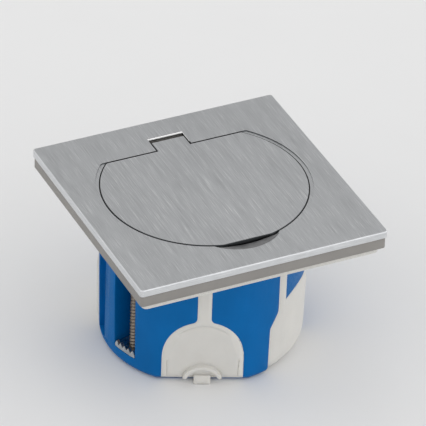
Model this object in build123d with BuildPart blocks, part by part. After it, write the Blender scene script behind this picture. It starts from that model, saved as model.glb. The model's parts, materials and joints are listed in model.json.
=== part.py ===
from build123d import *

import os
from math import atan, cos, radians, sin

# Flush worktop socket: a square cover with a hinged lid over a round box for a 68 mm cut-out.
# Millimetres, +Z up. The origin is under the middle of the cover, level with the box's underside.
# The hinge is on the +Y side and the finger scoop on the -Y side.

# Leading sizes: the box for a 68 mm cut-out, and the box's, lid's and socket's common axis
BOX_R = 33.4
AXIS_Y = 2.9
WELL_IN_BOX = 13.4
WELL_R = BOX_R - WELL_IN_BOX

# Cover plate, a folded steel sheet
PLATE_OVERHANG = 9.6
PLATE_SIDE = 2 * (BOX_R + PLATE_OVERHANG)
PLATE_HEIGHT = 2.4
SHEET = 1.2
PLATE_CORNER_R = 1.1
PLATE_BEVEL = 0.25
LEDGE_WIDTH = 1.2
LEDGE_DEPTH = 0.3

# Heights of the stack
WORKTOP_Z = 47.6
GASKET_HEIGHT = 2.6
FRAME_HEIGHT = 4.0
CHASSIS_Z = WORKTOP_Z + GASKET_HEIGHT
PLATE_Z = CHASSIS_Z + FRAME_HEIGHT
TOP_Z = PLATE_Z + PLATE_HEIGHT
SHEET_Z = TOP_Z - SHEET

# Lid and its hinge
LID_OVER_BOX = 0.25
LID_R = BOX_R + LID_OVER_BOX
LID_GAP = 0.3
LID_REAR_CUT = 10.15
LID_REAR_Y = AXIS_Y + LID_R - LID_REAR_CUT
LID_FRONT_CUT = 1.05
LID_FRONT_Y = AXIS_Y - LID_R + LID_FRONT_CUT
LID_CORNER_R = 1.6
LID_SKIN = 2.0
LID_SINK = 0.1
LID_EDGE = 0.15
LID_Z = TOP_Z - LID_SINK - LID_SKIN
OPENING_R = LID_R + LID_GAP
OPENING_REAR_Y = LID_REAR_Y + LID_GAP
HINGE_BEHIND_LID = 3.6
HINGE_Y = LID_REAR_Y + HINGE_BEHIND_LID
HINGE_Z = PLATE_Z
TAB_WIDTH = 11.6
TAB_BEHIND_HINGE = 1.6
TAB_END_Y = HINGE_Y + TAB_BEHIND_HINGE
TAB_ROOT = 3.0
NOTCH_WIDTH = 12.5
NOTCH_BEHIND_HINGE = 4.1
NOTCH_END_Y = HINGE_Y + NOTCH_BEHIND_HINGE
PIN_R = 0.9
PIN_LENGTH = 18.4
PIN_PLAY = 0.05
PIN_SEAT_PLAY = 0.02
KNUCKLE_R = 1.7
KNUCKLE_INSIDE = 2.3
SPRING_BAY_R = 1.95
LID_SWING_R = 4.15
HINGE_COIL_R = 1.3
HINGE_WIRE_R = 0.22
HINGE_COIL_PITCH = 0.8
HINGE_COIL_LENGTH = 4.0

# Finger scoop in front of the lid
SCOOP_R = 15.4
SCOOP_BEHIND_EDGE = 10.3
SCOOP_Y = LID_FRONT_Y + SCOOP_BEHIND_EDGE
SCOOP_SLOPE_RUN = 3.2
SCOOP_DEPTH = 2.2
SCOOP_RIM = 1.2

# Steel chassis on the box's rim, and its screws into the box's posts
CHASSIS_OVERHANG = 2.1
CHASSIS_SIDE = 2 * (BOX_R + CHASSIS_OVERHANG)
CHASSIS_CORNER_R = 3.0
CHASSIS_THICKNESS = 1.2
CHASSIS_PLAY = 0.2
CHASSIS_TOP_Z = CHASSIS_Z + CHASSIS_THICKNESS
POST_INSET = 3.4
POST_R = 2.6
POST_DEPTH = 22.0
DEVICE_SCREW_CIRCLE_R = BOX_R - POST_INSET
DEVICE_SCREW_ANGLES = (57.0, 237.0)
DEVICE_SCREW_R = 1.6
DEVICE_SCREW_HEAD_R = 3.0
DEVICE_SCREW_HEAD = 1.5
DEVICE_SCREW_LENGTH = 20.0
SCREW_PLAY = 0.2
SLOT_WIDTH = 0.7
SLOT_DEPTH = 0.7

# Socket well, for a round plug with two 4.8 mm pins 19 mm apart
WELL_DEPTH = 15.0
WELL_WALL = 1.5
WELL_FLOOR = 3.0
WELL_FLANGE_WIDTH = 6.4
WELL_FLANGE_R = WELL_R + WELL_FLANGE_WIDTH
WELL_FLANGE = 1.2
WELL_RIM_Z = CHASSIS_TOP_Z + WELL_FLANGE
WELL_FLOOR_Z = WELL_RIM_Z - WELL_DEPTH
WELL_UNDERSIDE_Z = WELL_FLOOR_Z - WELL_FLOOR
WELL_MOUTH_FILLET = 0.4
CHASSIS_BORE_PLAY = 0.7
CHASSIS_BORE_R = WELL_R + WELL_WALL + CHASSIS_BORE_PLAY
PLUG_PIN_SPACING = 19.0
PIN_HOLE_R = 2.6
PIN_HOLE_MOUTH_R = 3.4
EARTH_PIN_OFFSET = 10.0
EARTH_PIN_R = 2.4
EARTH_PIN_HEIGHT = 14.0
EARTH_PIN_TIP_FILLET = 1.9
EARTH_SHANK_R = 2.8
EARTH_SHANK_PLAY = 0.05
EARTH_COLLAR_R = 3.4

# Lid liner and its seal, which meets the well's rim
LINER_OVER_WELL = 3.4
LINER_R = WELL_R + LINER_OVER_WELL
LINER_INSET = 0.9
LINER_REAR_Y = LID_REAR_Y - LINER_INSET
LINER_THICKNESS = 1.4
LINER_Z = LID_Z - LINER_THICKNESS
SEAL_OVER_WELL = 0.7
SEAL_WIDTH = 1.4
SEAL_INSIDE_R = WELL_R + SEAL_OVER_WELL
SEAL_OUTSIDE_R = SEAL_INSIDE_R + SEAL_WIDTH
SEAL_PLAY = 0.1
SEAL_GROOVE = 0.9
LINER_SCREW_INSET = 7.0
LINER_SCREW_CIRCLE_R = WELL_R - LINER_SCREW_INSET
LINER_SCREW_ANGLES = (60.0, 180.0, 300.0)
LINER_SCREW_R = 0.8
LINER_SCREW_HEAD_R = 1.8
LINER_SCREW_HEAD = 0.6
LINER_SCREW_GRIP = 1.2

# Frame under the cover
FRAME_INSET = 0.35
FRAME_CORNER_R = 1.1
FRAME_PLAY = 0.1
FRAME_SHELF_DROP = 0.6
FRAME_OPENING_PLAY = 0.2
FRAME_OPENING_R = WELL_FLANGE_R + FRAME_OPENING_PLAY
FINGER_ROOM_R = 13.0
FINGER_ROOM_DEPTH = 1.4
FRAME_SCREW_INSET = 3.4
FRAME_SCREW_CIRCLE_R = BOX_R - FRAME_SCREW_INSET
FRAME_SCREW_ANGLES = (45.0, 135.0, 225.0, 315.0)
FRAME_SCREW_R = 1.2
FRAME_SCREW_HEAD_R = 2.2
FRAME_SCREW_HEAD = 1.0
FRAME_SCREW_FLOOR = 1.2
FRAME_SCREW_TIP = 2.0

# Gasket between the frame and the worktop
GASKET_INSET = 1.9
GASKET_PLAY = 0.4
GASKET_CORNER_R = 1.5

# Contact block, its contacts and terminals
BLOCK_RIM = 1.3
BLOCK_R = WELL_R + BLOCK_RIM
BLOCK_Z = 8.0
SHUTTER_THICKNESS = 2.4
SHUTTER_PLAY = 0.2
BLOCK_TOP_Z = WELL_UNDERSIDE_Z - SHUTTER_THICKNESS - 2 * SHUTTER_PLAY
BLOCK_SCREW_X = 9.0
BLOCK_SCREW_DY = 10.0
BLOCK_SCREW_R = 1.3
BLOCK_SCREW_HEAD_R = 2.3
BLOCK_SCREW_HEAD = 1.6
BLOCK_SCREW_GRIP = 2.0
BLOCK_PILLAR_R = 2.2
SLEEVE_R = 3.2
SLEEVE_BORE_R = 2.4
SLEEVE_LENGTH = 12.0
SLEEVE_FLOOR = 1.2
SLEEVE_PLAY = 0.3
SLEEVE_SLIT = 0.6
SLEEVE_SLIT_DEPTH = 8.0
STEM_R = 1.6
TERMINAL_SIDE = 7.6
TERMINAL_HEIGHT = 7.2
TERMINAL_PLAY = 0.2
TERMINAL_POCKET_DEPTH = 8.0
TERMINAL_RAISE = 0.4
TERMINAL_Z = BLOCK_Z + TERMINAL_RAISE
WIRE_R = 1.5
WIRE_RAISE = 4.6
WIRE_Z = TERMINAL_Z + WIRE_RAISE
WIRE_ENTRY_R = 1.9
TERMINAL_SCREW_R = 1.45
TERMINAL_SCREW_LENGTH = 4.4
TERMINAL_SCREW_HEAD_R = 2.5
TERMINAL_SCREW_HEAD = 1.4

# Shutter behind the pin holes
SHUTTER_WIDTH = 25.2
SHUTTER_REAR = 3.4
SHUTTER_FRONT = 6.4
SHUTTER_RAMP = 1.8
SHUTTER_ROOM_R = BLOCK_R - BLOCK_RIM
SHUTTER_SPRING_R = 0.8
SHUTTER_WIRE_R = 0.2
SHUTTER_SPRING_PITCH = 1.3
SHUTTER_SPRING_END_GAP = 0.1

# Round box with four pierceable membranes
BOX_TAPER = 0.4
BOX_LOW_R = BOX_R - BOX_TAPER
BOX_TAPER_Z = 26.3
BOX_FOOT_FILLET = 3.0
BOX_WALL = 1.8
BOX_FLANGE_WIDTH = 2.8
BOX_FLANGE_R = BOX_R + BOX_FLANGE_WIDTH
BOX_FLANGE = 1.2

# Dome membranes: a slanted flat and a chamfered foot, cut from the round wall
MEMBRANE_DEPTH = 2.0
DOME_ANGLES = (23.4, 203.4)
DOME_SLANT = 3.2
DOME_FOOT_R = BOX_R - DOME_SLANT
DOME_TOP_Z = 26.3
DOME_INSIDE_R = DOME_FOOT_R - MEMBRANE_DEPTH
DOME_CHAMFER_Z = 2.7
DOME_HALF_WIDTH = 13.2
DOME_SHOULDER_Z = 10.3
NECK_WIDTH = 4.5
NECK_FILLET = 2.0
DOME_BORDER = 1.6
DOME_BORDER_DEPTH = 0.35
ARCH_R = 6.5
ARCH_WIDTH = 1.2
ARCH_HEIGHT = 1.2
ARCH_CENTRE_Z = 1.3
FOOT_TAB_WIDTH = 5.4
FOOT_TAB_OVER_FLAT = 0.9
FOOT_TAB_REACH = DOME_FOOT_R + FOOT_TAB_OVER_FLAT
FOOT_TAB_HEIGHT = 3.5

# Link membranes: they follow the round wall and have a softer foot
LINK_ANGLES = (-41.0, 139.0)
LINK_WINDOW_DEPTH = 6.2
LINK_INSIDE_R = BOX_R - LINK_WINDOW_DEPTH
LINK_FOOT_FILLET = 6.0
LINK_LEFT = -13.5
LINK_RIGHT = 14.2
LINK_NECK_LEFT = -10.3
LINK_NECK_RIGHT = -6.8
LINK_SHOULDER_Z = 18.0
LINK_NECK_LEFT_Z = 23.3
LINK_NECK_RIGHT_Z = 26.4
LINK_CREST_X = 0.5
LINK_CREST_Z = 27.8
LINK_FAR_TOP_Z = 24.6
LINK_SHOULDER_FILLET = 3.0

# Claws that clamp the box under the worktop
CLAW_ANGLES = (73.0, 253.0)
CLAW_SCREW_INSET = 4.8
CLAW_SCREW_CIRCLE_R = BOX_R - CLAW_SCREW_INSET
CLAW_SCREW_R = 1.7
CLAW_SCREW_HEAD_R = 2.9
CLAW_SCREW_HEAD = 1.3
CLAW_CHANNEL_BEHIND_SCREW = 3.9
CLAW_CHANNEL_INSIDE_R = CLAW_SCREW_CIRCLE_R - CLAW_CHANNEL_BEHIND_SCREW
CLAW_CHANNEL_HALF_WIDTH = 5.0
CLAW_CHANNEL_WALL = 1.3
CLAW_CHANNEL_FOOT_Z = 5.3
CLAW_POCKET_Z = 2.6
CLAW_POCKET_OUTSIDE_R = BOX_R - BOX_WALL
CLAW_PLAY = 0.3
CLAW_EDGE_INSET = 0.1
CLAW_INSIDE_R = CLAW_CHANNEL_INSIDE_R + CLAW_PLAY
CLAW_OUTSIDE_R = BOX_LOW_R - CLAW_EDGE_INSET
CLAW_HALF_WIDTH = CLAW_CHANNEL_HALF_WIDTH - CLAW_PLAY
CLAW_THICKNESS = 1.1
CLAW_LIFT = 0.15
CLAW_TOOTH_COUNT = 5
CLAW_TOOTH_HEIGHT = 1.4
CLAW_TOOTH_DEPTH = 1.0
NUT_SIDE = 5.5
NUT_HEIGHT = 2.4
NUT_LIFT = 0.3
THREAD_PLAY = 0.05

# Sunk panels beside each claw channel: angle from the channel, width, depth, height of the foot
SUNK_PANELS = ((19.3, 3.2, 0.45, 3.6), (27.8, 6.6, 2.4, 3.5))
PANEL_WALL = 1.2

TO_BOTTOM = (Align.CENTER, Align.CENTER, Align.MIN)
TO_TOP = (Align.CENTER, Align.CENTER, Align.MAX)
FAR = 100.0
VERTEX_MARGIN = 1.0


def level(height):
    """Horizontal plane at a height."""
    return Plane.XY.offset(height)


def outwards(angle):
    """Unit vector from the box's axis, angle degrees round from the front towards the left."""
    return Vector(-sin(radians(angle)), -cos(radians(angle)), 0)


def side_plane(angle, height=0.0):
    """Horizontal plane centred on the box's axis, its x axis pointing outwards at the angle."""
    return Plane(origin=(0, AXIS_Y, height), x_dir=outwards(angle), z_dir=(0, 0, 1))


def radial_plane(angle, radius):
    """Upright plane that faces outwards at the angle, its y axis up from the box's underside."""
    out = outwards(angle)
    return Plane(
        origin=Vector(0, AXIS_Y, 0) + out * radius, x_dir=Vector(0, 0, 1).cross(out), z_dir=out
    )


def around_axis(radius, angle):
    """Point in plan on a circle around the box's axis."""
    spot = Vector(0, AXIS_Y, 0) + outwards(angle) * radius
    return spot.X, spot.Y


def square(plane, side, corner_radius, centre_y=0.0):
    """Square with rounded corners."""
    with BuildSketch(plane) as outline:
        with Locations((0, centre_y)):
            RectangleRounded(side, side, corner_radius)
    return outline.sketch


def lid_shape(plane, radius, rear_y):
    """Disc around the box's axis, cut straight at the hinge side with rounded corners there."""
    with BuildSketch(plane) as outline:
        with Locations((0, AXIS_Y)):
            Circle(radius)
        with Locations((0, rear_y)):
            Rectangle(
                4 * radius, 4 * radius, align=(Align.CENTER, Align.MAX), mode=Mode.INTERSECT
            )
        fillet(outline.vertices().group_by(Axis.Y)[-1], LID_CORNER_R)
    return outline.sketch


def disc(plane, radius, centre_y=AXIS_Y):
    """Disc around the box's axis, or around another point of the same middle line."""
    with BuildSketch(plane) as outline:
        with Locations((0, centre_y)):
            Circle(radius)
    return outline.sketch


def ring(plane, outside_radius, inside_radius):
    """Flat ring around the box's axis."""
    with BuildSketch(plane) as outline:
        with Locations((0, AXIS_Y)):
            Circle(outside_radius)
            Circle(inside_radius, mode=Mode.SUBTRACT)
    return outline.sketch


def dots(plane, spots, radius):
    """Group of equal discs."""
    with BuildSketch(plane) as outline:
        with Locations(*spots):
            Circle(radius)
    return outline.sketch


def rod(centre_x, length, radius):
    """Cylinder along X around the hinge axis."""
    with BuildPart() as form:
        with Locations(Location((centre_x, HINGE_Y, HINGE_Z), (0, 90, 0))):
            Cylinder(radius, length)
    return form.part


def slotted_screws(spots, head_z, head, shank_radius, shank_length, up=True):
    """Group of screws: spots in plan, seat height of the heads, head radius and height, shank below or above."""
    head_radius, head_height = head
    way = 1 if up else -1
    with BuildPart() as screws:
        extrude(dots(level(head_z), spots, head_radius), amount=way * head_height)
        extrude(dots(level(head_z), spots, shank_radius), amount=-way * shank_length)
        with BuildSketch(level(head_z + way * head_height)):
            with Locations(*spots):
                Rectangle(2 * head_radius, SLOT_WIDTH)
        extrude(amount=-way * SLOT_DEPTH, mode=Mode.SUBTRACT)
    return screws.part


FRAME_SCREW_SPOTS = [around_axis(FRAME_SCREW_CIRCLE_R, a) for a in FRAME_SCREW_ANGLES]
DEVICE_SCREW_SPOTS = [around_axis(DEVICE_SCREW_CIRCLE_R, a) for a in DEVICE_SCREW_ANGLES]
CLAW_SCREW_SPOTS = [around_axis(CLAW_SCREW_CIRCLE_R, a) for a in CLAW_ANGLES]
PIN_HOLE_SPOTS = [(-PLUG_PIN_SPACING / 2, AXIS_Y), (PLUG_PIN_SPACING / 2, AXIS_Y)]
EARTH_SPOT = (0, AXIS_Y + EARTH_PIN_OFFSET)
BLOCK_SCREW_SPOTS = [
    (-BLOCK_SCREW_X, AXIS_Y + BLOCK_SCREW_DY),
    (BLOCK_SCREW_X, AXIS_Y + BLOCK_SCREW_DY),
]
LINER_SCREW_SPOTS = [around_axis(LINER_SCREW_CIRCLE_R, a) for a in LINER_SCREW_ANGLES]
TERMINAL_SPOTS = PIN_HOLE_SPOTS + [EARTH_SPOT]


# Cover plate with the lid opening, the ledge around it, the hinge notch and the finger scoop
with BuildPart() as cover_plate:
    extrude(square(level(PLATE_Z), PLATE_SIDE, PLATE_CORNER_R), amount=PLATE_HEIGHT)
    chamfer(cover_plate.faces().sort_by(Axis.Z)[-1].edges(), PLATE_BEVEL)
    extrude(
        square(level(PLATE_Z), PLATE_SIDE - 2 * SHEET, PLATE_CORNER_R - SHEET / 2),
        amount=PLATE_HEIGHT - SHEET,
        mode=Mode.SUBTRACT,
    )
    with Locations((0, SCOOP_Y, TOP_Z - SCOOP_DEPTH)):
        Cylinder(SCOOP_R + SCOOP_RIM, SCOOP_DEPTH - SHEET / 2, align=TO_BOTTOM)
        Cone(SCOOP_R - SCOOP_SLOPE_RUN, SCOOP_R, SCOOP_DEPTH, align=TO_BOTTOM, mode=Mode.SUBTRACT)
    extrude(
        lid_shape(level(PLATE_Z), OPENING_R, OPENING_REAR_Y),
        amount=PLATE_HEIGHT,
        mode=Mode.SUBTRACT,
    )
    extrude(
        lid_shape(level(TOP_Z), OPENING_R + LEDGE_WIDTH, OPENING_REAR_Y),
        amount=-LEDGE_DEPTH,
        mode=Mode.SUBTRACT,
    )
    with Locations((0, NOTCH_END_Y, PLATE_Z)):
        Box(
            NOTCH_WIDTH,
            NOTCH_END_Y - OPENING_REAR_Y + TAB_ROOT,
            PLATE_HEIGHT,
            align=(Align.CENTER, Align.MAX, Align.MIN),
            mode=Mode.SUBTRACT,
        )

# Lid skin with its tab and two hinge knuckles
with BuildPart() as lid:
    extrude(lid_shape(level(LID_Z), LID_R, LID_REAR_Y), amount=LID_SKIN)
    with Locations((0, LID_FRONT_Y, LID_Z)):
        Box(
            2 * LID_R,
            LID_R,
            LID_SKIN,
            align=(Align.CENTER, Align.MAX, Align.MIN),
            mode=Mode.SUBTRACT,
        )
    with Locations((0, TAB_END_Y, LID_Z)):
        Box(
            TAB_WIDTH,
            TAB_END_Y - LID_REAR_Y + TAB_ROOT,
            LID_SKIN,
            align=(Align.CENTER, Align.MAX, Align.MIN),
        )
    chamfer(lid.faces().sort_by(Axis.Z)[-1].edges(), LID_EDGE)
    for side in (-1, 1):
        add(rod(side * (TAB_WIDTH / 2 + LID_R / 2), LID_R, LID_SWING_R), mode=Mode.SUBTRACT)
        add(
            rod(
                side * (TAB_WIDTH / 2 + KNUCKLE_INSIDE) / 2,
                TAB_WIDTH / 2 - KNUCKLE_INSIDE,
                KNUCKLE_R,
            )
        )
    add(rod(0, TAB_WIDTH, PIN_R + PIN_PLAY), mode=Mode.SUBTRACT)
    add(rod(0, 2 * KNUCKLE_INSIDE, SPRING_BAY_R), mode=Mode.SUBTRACT)
    extrude(
        dots(level(LID_Z), LINER_SCREW_SPOTS, LINER_SCREW_R),
        amount=LINER_SCREW_GRIP,
        mode=Mode.SUBTRACT,
    )

with BuildPart() as hinge_pin:
    add(rod(0, PIN_LENGTH, PIN_R))

# Closing spring around the pin, between the knuckles
with BuildPart() as hinge_spring:
    with BuildLine() as coil:
        Helix(
            pitch=HINGE_COIL_PITCH,
            height=HINGE_COIL_LENGTH,
            radius=HINGE_COIL_R,
            center=(-HINGE_COIL_LENGTH / 2, HINGE_Y, HINGE_Z),
            direction=(1, 0, 0),
        )
    with BuildSketch(Plane(origin=coil.line @ 0, z_dir=coil.line % 0)):
        Circle(HINGE_WIRE_R)
    sweep(is_frenet=True)

# Liner under the lid, with a groove for the seal
with BuildPart() as lid_liner:
    extrude(lid_shape(level(LINER_Z), LINER_R, LINER_REAR_Y), amount=LINER_THICKNESS)
    extrude(
        ring(level(LINER_Z), SEAL_OUTSIDE_R + SEAL_PLAY, SEAL_INSIDE_R - SEAL_PLAY),
        amount=SEAL_GROOVE,
        mode=Mode.SUBTRACT,
    )
    extrude(
        dots(level(LINER_Z), LINER_SCREW_SPOTS, LINER_SCREW_R),
        amount=LINER_THICKNESS,
        mode=Mode.SUBTRACT,
    )

with BuildPart() as lid_seal:
    extrude(
        ring(level(WELL_RIM_Z + SEAL_PLAY), SEAL_OUTSIDE_R, SEAL_INSIDE_R),
        amount=LINER_Z + SEAL_GROOVE - WELL_RIM_Z - SEAL_PLAY,
    )

lid_screws = slotted_screws(
    LINER_SCREW_SPOTS,
    LINER_Z,
    (LINER_SCREW_HEAD_R, LINER_SCREW_HEAD),
    LINER_SCREW_R,
    LINER_THICKNESS + LINER_SCREW_GRIP,
    up=False,
)

# Plastic frame under the cover: a rim that shows, a platform inside the fold, pockets for what it holds
with BuildPart() as under_frame:
    extrude(
        square(level(CHASSIS_Z), PLATE_SIDE - 2 * FRAME_INSET, FRAME_CORNER_R),
        amount=FRAME_HEIGHT,
    )
    extrude(
        square(
            level(PLATE_Z), PLATE_SIDE - 2 * SHEET - 2 * FRAME_PLAY, PLATE_CORNER_R - SHEET / 2
        ),
        amount=SHEET_Z - PLATE_Z,
    )
    extrude(
        square(
            level(CHASSIS_Z), CHASSIS_SIDE + 2 * CHASSIS_PLAY, CHASSIS_CORNER_R, centre_y=AXIS_Y
        ),
        amount=CHASSIS_THICKNESS,
        mode=Mode.SUBTRACT,
    )
    extrude(
        disc(level(CHASSIS_Z), FRAME_OPENING_R), amount=SHEET_Z - CHASSIS_Z, mode=Mode.SUBTRACT
    )
    extrude(
        lid_shape(level(LID_Z - FRAME_SHELF_DROP), OPENING_R, OPENING_REAR_Y),
        amount=SHEET_Z - LID_Z + FRAME_SHELF_DROP,
        mode=Mode.SUBTRACT,
    )
    extrude(
        disc(level(LID_Z - FRAME_SHELF_DROP), FINGER_ROOM_R, centre_y=SCOOP_Y),
        amount=-FINGER_ROOM_DEPTH,
        mode=Mode.SUBTRACT,
    )
    extrude(
        disc(
            level(TOP_Z - SCOOP_DEPTH - FRAME_PLAY),
            SCOOP_R + SCOOP_RIM + FRAME_PLAY,
            centre_y=SCOOP_Y,
        ),
        amount=SHEET_Z - TOP_Z + SCOOP_DEPTH + FRAME_PLAY,
        mode=Mode.SUBTRACT,
    )
    with Locations((0, NOTCH_END_Y, CHASSIS_Z)):
        Box(
            NOTCH_WIDTH,
            NOTCH_END_Y - AXIS_Y,
            SHEET_Z - CHASSIS_Z,
            align=(Align.CENTER, Align.MAX, Align.MIN),
            mode=Mode.SUBTRACT,
        )
    add(rod(0, PIN_LENGTH, PIN_R + PIN_SEAT_PLAY), mode=Mode.SUBTRACT)
    with Locations((0, HINGE_Y, HINGE_Z)):
        Box(
            PIN_LENGTH,
            2 * (PIN_R + PIN_SEAT_PLAY),
            SHEET_Z - HINGE_Z,
            align=TO_BOTTOM,
            mode=Mode.SUBTRACT,
        )
    extrude(
        dots(level(CHASSIS_TOP_Z), DEVICE_SCREW_SPOTS, DEVICE_SCREW_HEAD_R + SCREW_PLAY),
        amount=SHEET_Z - CHASSIS_TOP_Z,
        mode=Mode.SUBTRACT,
    )
    extrude(
        dots(level(CHASSIS_TOP_Z), FRAME_SCREW_SPOTS, FRAME_SCREW_R + SCREW_PLAY),
        amount=SHEET_Z - CHASSIS_TOP_Z,
        mode=Mode.SUBTRACT,
    )
    extrude(
        dots(
            level(CHASSIS_TOP_Z + FRAME_SCREW_FLOOR),
            FRAME_SCREW_SPOTS,
            FRAME_SCREW_HEAD_R + SCREW_PLAY,
        ),
        amount=SHEET_Z - CHASSIS_TOP_Z - FRAME_SCREW_FLOOR,
        mode=Mode.SUBTRACT,
    )

frame_screws = slotted_screws(
    FRAME_SCREW_SPOTS,
    CHASSIS_TOP_Z + FRAME_SCREW_FLOOR,
    (FRAME_SCREW_HEAD_R, FRAME_SCREW_HEAD),
    FRAME_SCREW_R,
    FRAME_SCREW_FLOOR + CHASSIS_THICKNESS + FRAME_SCREW_TIP,
)

with BuildPart() as gasket:
    extrude(
        square(level(WORKTOP_Z), PLATE_SIDE - 2 * GASKET_INSET, GASKET_CORNER_R),
        amount=GASKET_HEIGHT,
    )
    extrude(
        disc(level(WORKTOP_Z), BOX_FLANGE_R + GASKET_PLAY),
        amount=GASKET_HEIGHT,
        mode=Mode.SUBTRACT,
    )

# Steel chassis that carries the socket well and screws down on the box
with BuildPart() as chassis:
    extrude(
        square(level(CHASSIS_Z), CHASSIS_SIDE, CHASSIS_CORNER_R, centre_y=AXIS_Y),
        amount=CHASSIS_THICKNESS,
    )
    extrude(
        disc(level(CHASSIS_Z), CHASSIS_BORE_R), amount=CHASSIS_THICKNESS, mode=Mode.SUBTRACT
    )
    extrude(
        dots(level(CHASSIS_Z), DEVICE_SCREW_SPOTS, DEVICE_SCREW_R + SCREW_PLAY),
        amount=CHASSIS_THICKNESS,
        mode=Mode.SUBTRACT,
    )
    extrude(
        dots(level(CHASSIS_Z), FRAME_SCREW_SPOTS, FRAME_SCREW_R),
        amount=CHASSIS_THICKNESS,
        mode=Mode.SUBTRACT,
    )
    extrude(
        dots(level(CHASSIS_Z), CLAW_SCREW_SPOTS, CLAW_SCREW_HEAD_R + SCREW_PLAY),
        amount=CHASSIS_THICKNESS,
        mode=Mode.SUBTRACT,
    )

device_screws = slotted_screws(
    DEVICE_SCREW_SPOTS,
    CHASSIS_TOP_Z,
    (DEVICE_SCREW_HEAD_R, DEVICE_SCREW_HEAD),
    DEVICE_SCREW_R,
    DEVICE_SCREW_LENGTH,
)

# Socket well: flange, round cup and a floor with the two pin holes and the earth pin's hole
with BuildPart() as socket_well:
    extrude(disc(level(CHASSIS_TOP_Z), WELL_FLANGE_R), amount=WELL_FLANGE)
    extrude(disc(level(WELL_UNDERSIDE_Z), WELL_R + WELL_WALL), amount=WELL_DEPTH + WELL_FLOOR)
    extrude(disc(level(WELL_FLOOR_Z), WELL_R), amount=WELL_DEPTH, mode=Mode.SUBTRACT)
    fillet(
        socket_well.edges().filter_by(GeomType.CIRCLE).group_by(Axis.Z)[-1].sort_by(
            SortBy.RADIUS
        )[0],
        WELL_MOUTH_FILLET,
    )
    with Locations(*[(x, y, WELL_FLOOR_Z) for x, y in PIN_HOLE_SPOTS]):
        CounterSinkHole(PIN_HOLE_R, PIN_HOLE_MOUTH_R, depth=WELL_FLOOR)
    extrude(
        dots(level(WELL_UNDERSIDE_Z), [EARTH_SPOT], EARTH_SHANK_R + EARTH_SHANK_PLAY),
        amount=WELL_FLOOR,
        mode=Mode.SUBTRACT,
    )
    extrude(
        dots(level(WELL_UNDERSIDE_Z), BLOCK_SCREW_SPOTS, BLOCK_SCREW_R),
        amount=BLOCK_SCREW_GRIP,
        mode=Mode.SUBTRACT,
    )

# Earth pin on a thicker shank, with the collar that holds it between the block and the well's floor
with BuildPart() as earth_pin:
    extrude(dots(level(WELL_FLOOR_Z), [EARTH_SPOT], EARTH_PIN_R), amount=EARTH_PIN_HEIGHT)
    fillet(earth_pin.edges().group_by(Axis.Z)[-1], EARTH_PIN_TIP_FILLET)
    extrude(
        dots(level(WELL_FLOOR_Z), [EARTH_SPOT], EARTH_SHANK_R),
        amount=TERMINAL_Z + TERMINAL_HEIGHT - WELL_FLOOR_Z,
    )
    extrude(
        dots(level(BLOCK_TOP_Z), [EARTH_SPOT], EARTH_COLLAR_R), amount=WELL_UNDERSIDE_Z - BLOCK_TOP_Z
    )

# Contact block: a thick disc with a rim that makes room for the shutter
with BuildPart() as contact_block:
    extrude(disc(level(BLOCK_Z), BLOCK_R), amount=WELL_UNDERSIDE_Z - BLOCK_Z)
    extrude(
        disc(level(BLOCK_TOP_Z), SHUTTER_ROOM_R),
        amount=WELL_UNDERSIDE_Z - BLOCK_TOP_Z,
        mode=Mode.SUBTRACT,
    )
    extrude(
        dots(level(BLOCK_TOP_Z), BLOCK_SCREW_SPOTS, BLOCK_PILLAR_R),
        amount=WELL_UNDERSIDE_Z - BLOCK_TOP_Z,
    )
    extrude(
        dots(level(BLOCK_Z), BLOCK_SCREW_SPOTS, BLOCK_SCREW_R),
        amount=WELL_UNDERSIDE_Z - BLOCK_Z,
        mode=Mode.SUBTRACT,
    )
    extrude(
        dots(level(BLOCK_TOP_Z), PIN_HOLE_SPOTS, SLEEVE_R + SLEEVE_PLAY),
        amount=-SLEEVE_LENGTH,
        mode=Mode.SUBTRACT,
    )
    extrude(
        dots(level(BLOCK_Z), PIN_HOLE_SPOTS, STEM_R),
        amount=BLOCK_TOP_Z - BLOCK_Z - SLEEVE_LENGTH,
        mode=Mode.SUBTRACT,
    )
    extrude(
        dots(level(BLOCK_Z), [EARTH_SPOT], EARTH_SHANK_R + EARTH_SHANK_PLAY),
        amount=BLOCK_TOP_Z - BLOCK_Z,
        mode=Mode.SUBTRACT,
    )
    with BuildSketch(level(BLOCK_Z)):
        with Locations(*TERMINAL_SPOTS):
            Rectangle(TERMINAL_SIDE + 2 * TERMINAL_PLAY, TERMINAL_SIDE + 2 * TERMINAL_PLAY)
    extrude(amount=TERMINAL_POCKET_DEPTH, mode=Mode.SUBTRACT)
    for terminal_x, terminal_y in TERMINAL_SPOTS:
        with BuildSketch(Plane(origin=(terminal_x, terminal_y, WIRE_Z), z_dir=(0, -1, 0))):
            Circle(WIRE_ENTRY_R)
        extrude(amount=FAR, mode=Mode.SUBTRACT)

block_screws = slotted_screws(
    BLOCK_SCREW_SPOTS,
    BLOCK_Z,
    (BLOCK_SCREW_HEAD_R, BLOCK_SCREW_HEAD),
    BLOCK_SCREW_R,
    WELL_UNDERSIDE_Z - BLOCK_Z + BLOCK_SCREW_GRIP,
    up=False,
)


def terminal(spot):
    """Brass clamp block with a wire hole from the front and a screw hole from below."""
    with BuildPart() as block:
        with Locations((*spot, TERMINAL_Z)):
            Box(TERMINAL_SIDE, TERMINAL_SIDE, TERMINAL_HEIGHT, align=TO_BOTTOM)
        with BuildSketch(Plane(origin=(*spot, WIRE_Z), z_dir=(0, -1, 0))):
            Circle(WIRE_R)
        extrude(amount=TERMINAL_SIDE / 2, mode=Mode.SUBTRACT)
        extrude(
            dots(level(TERMINAL_Z), [spot], TERMINAL_SCREW_R),
            amount=WIRE_Z - TERMINAL_Z,
            mode=Mode.SUBTRACT,
        )
    return block.part


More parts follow.
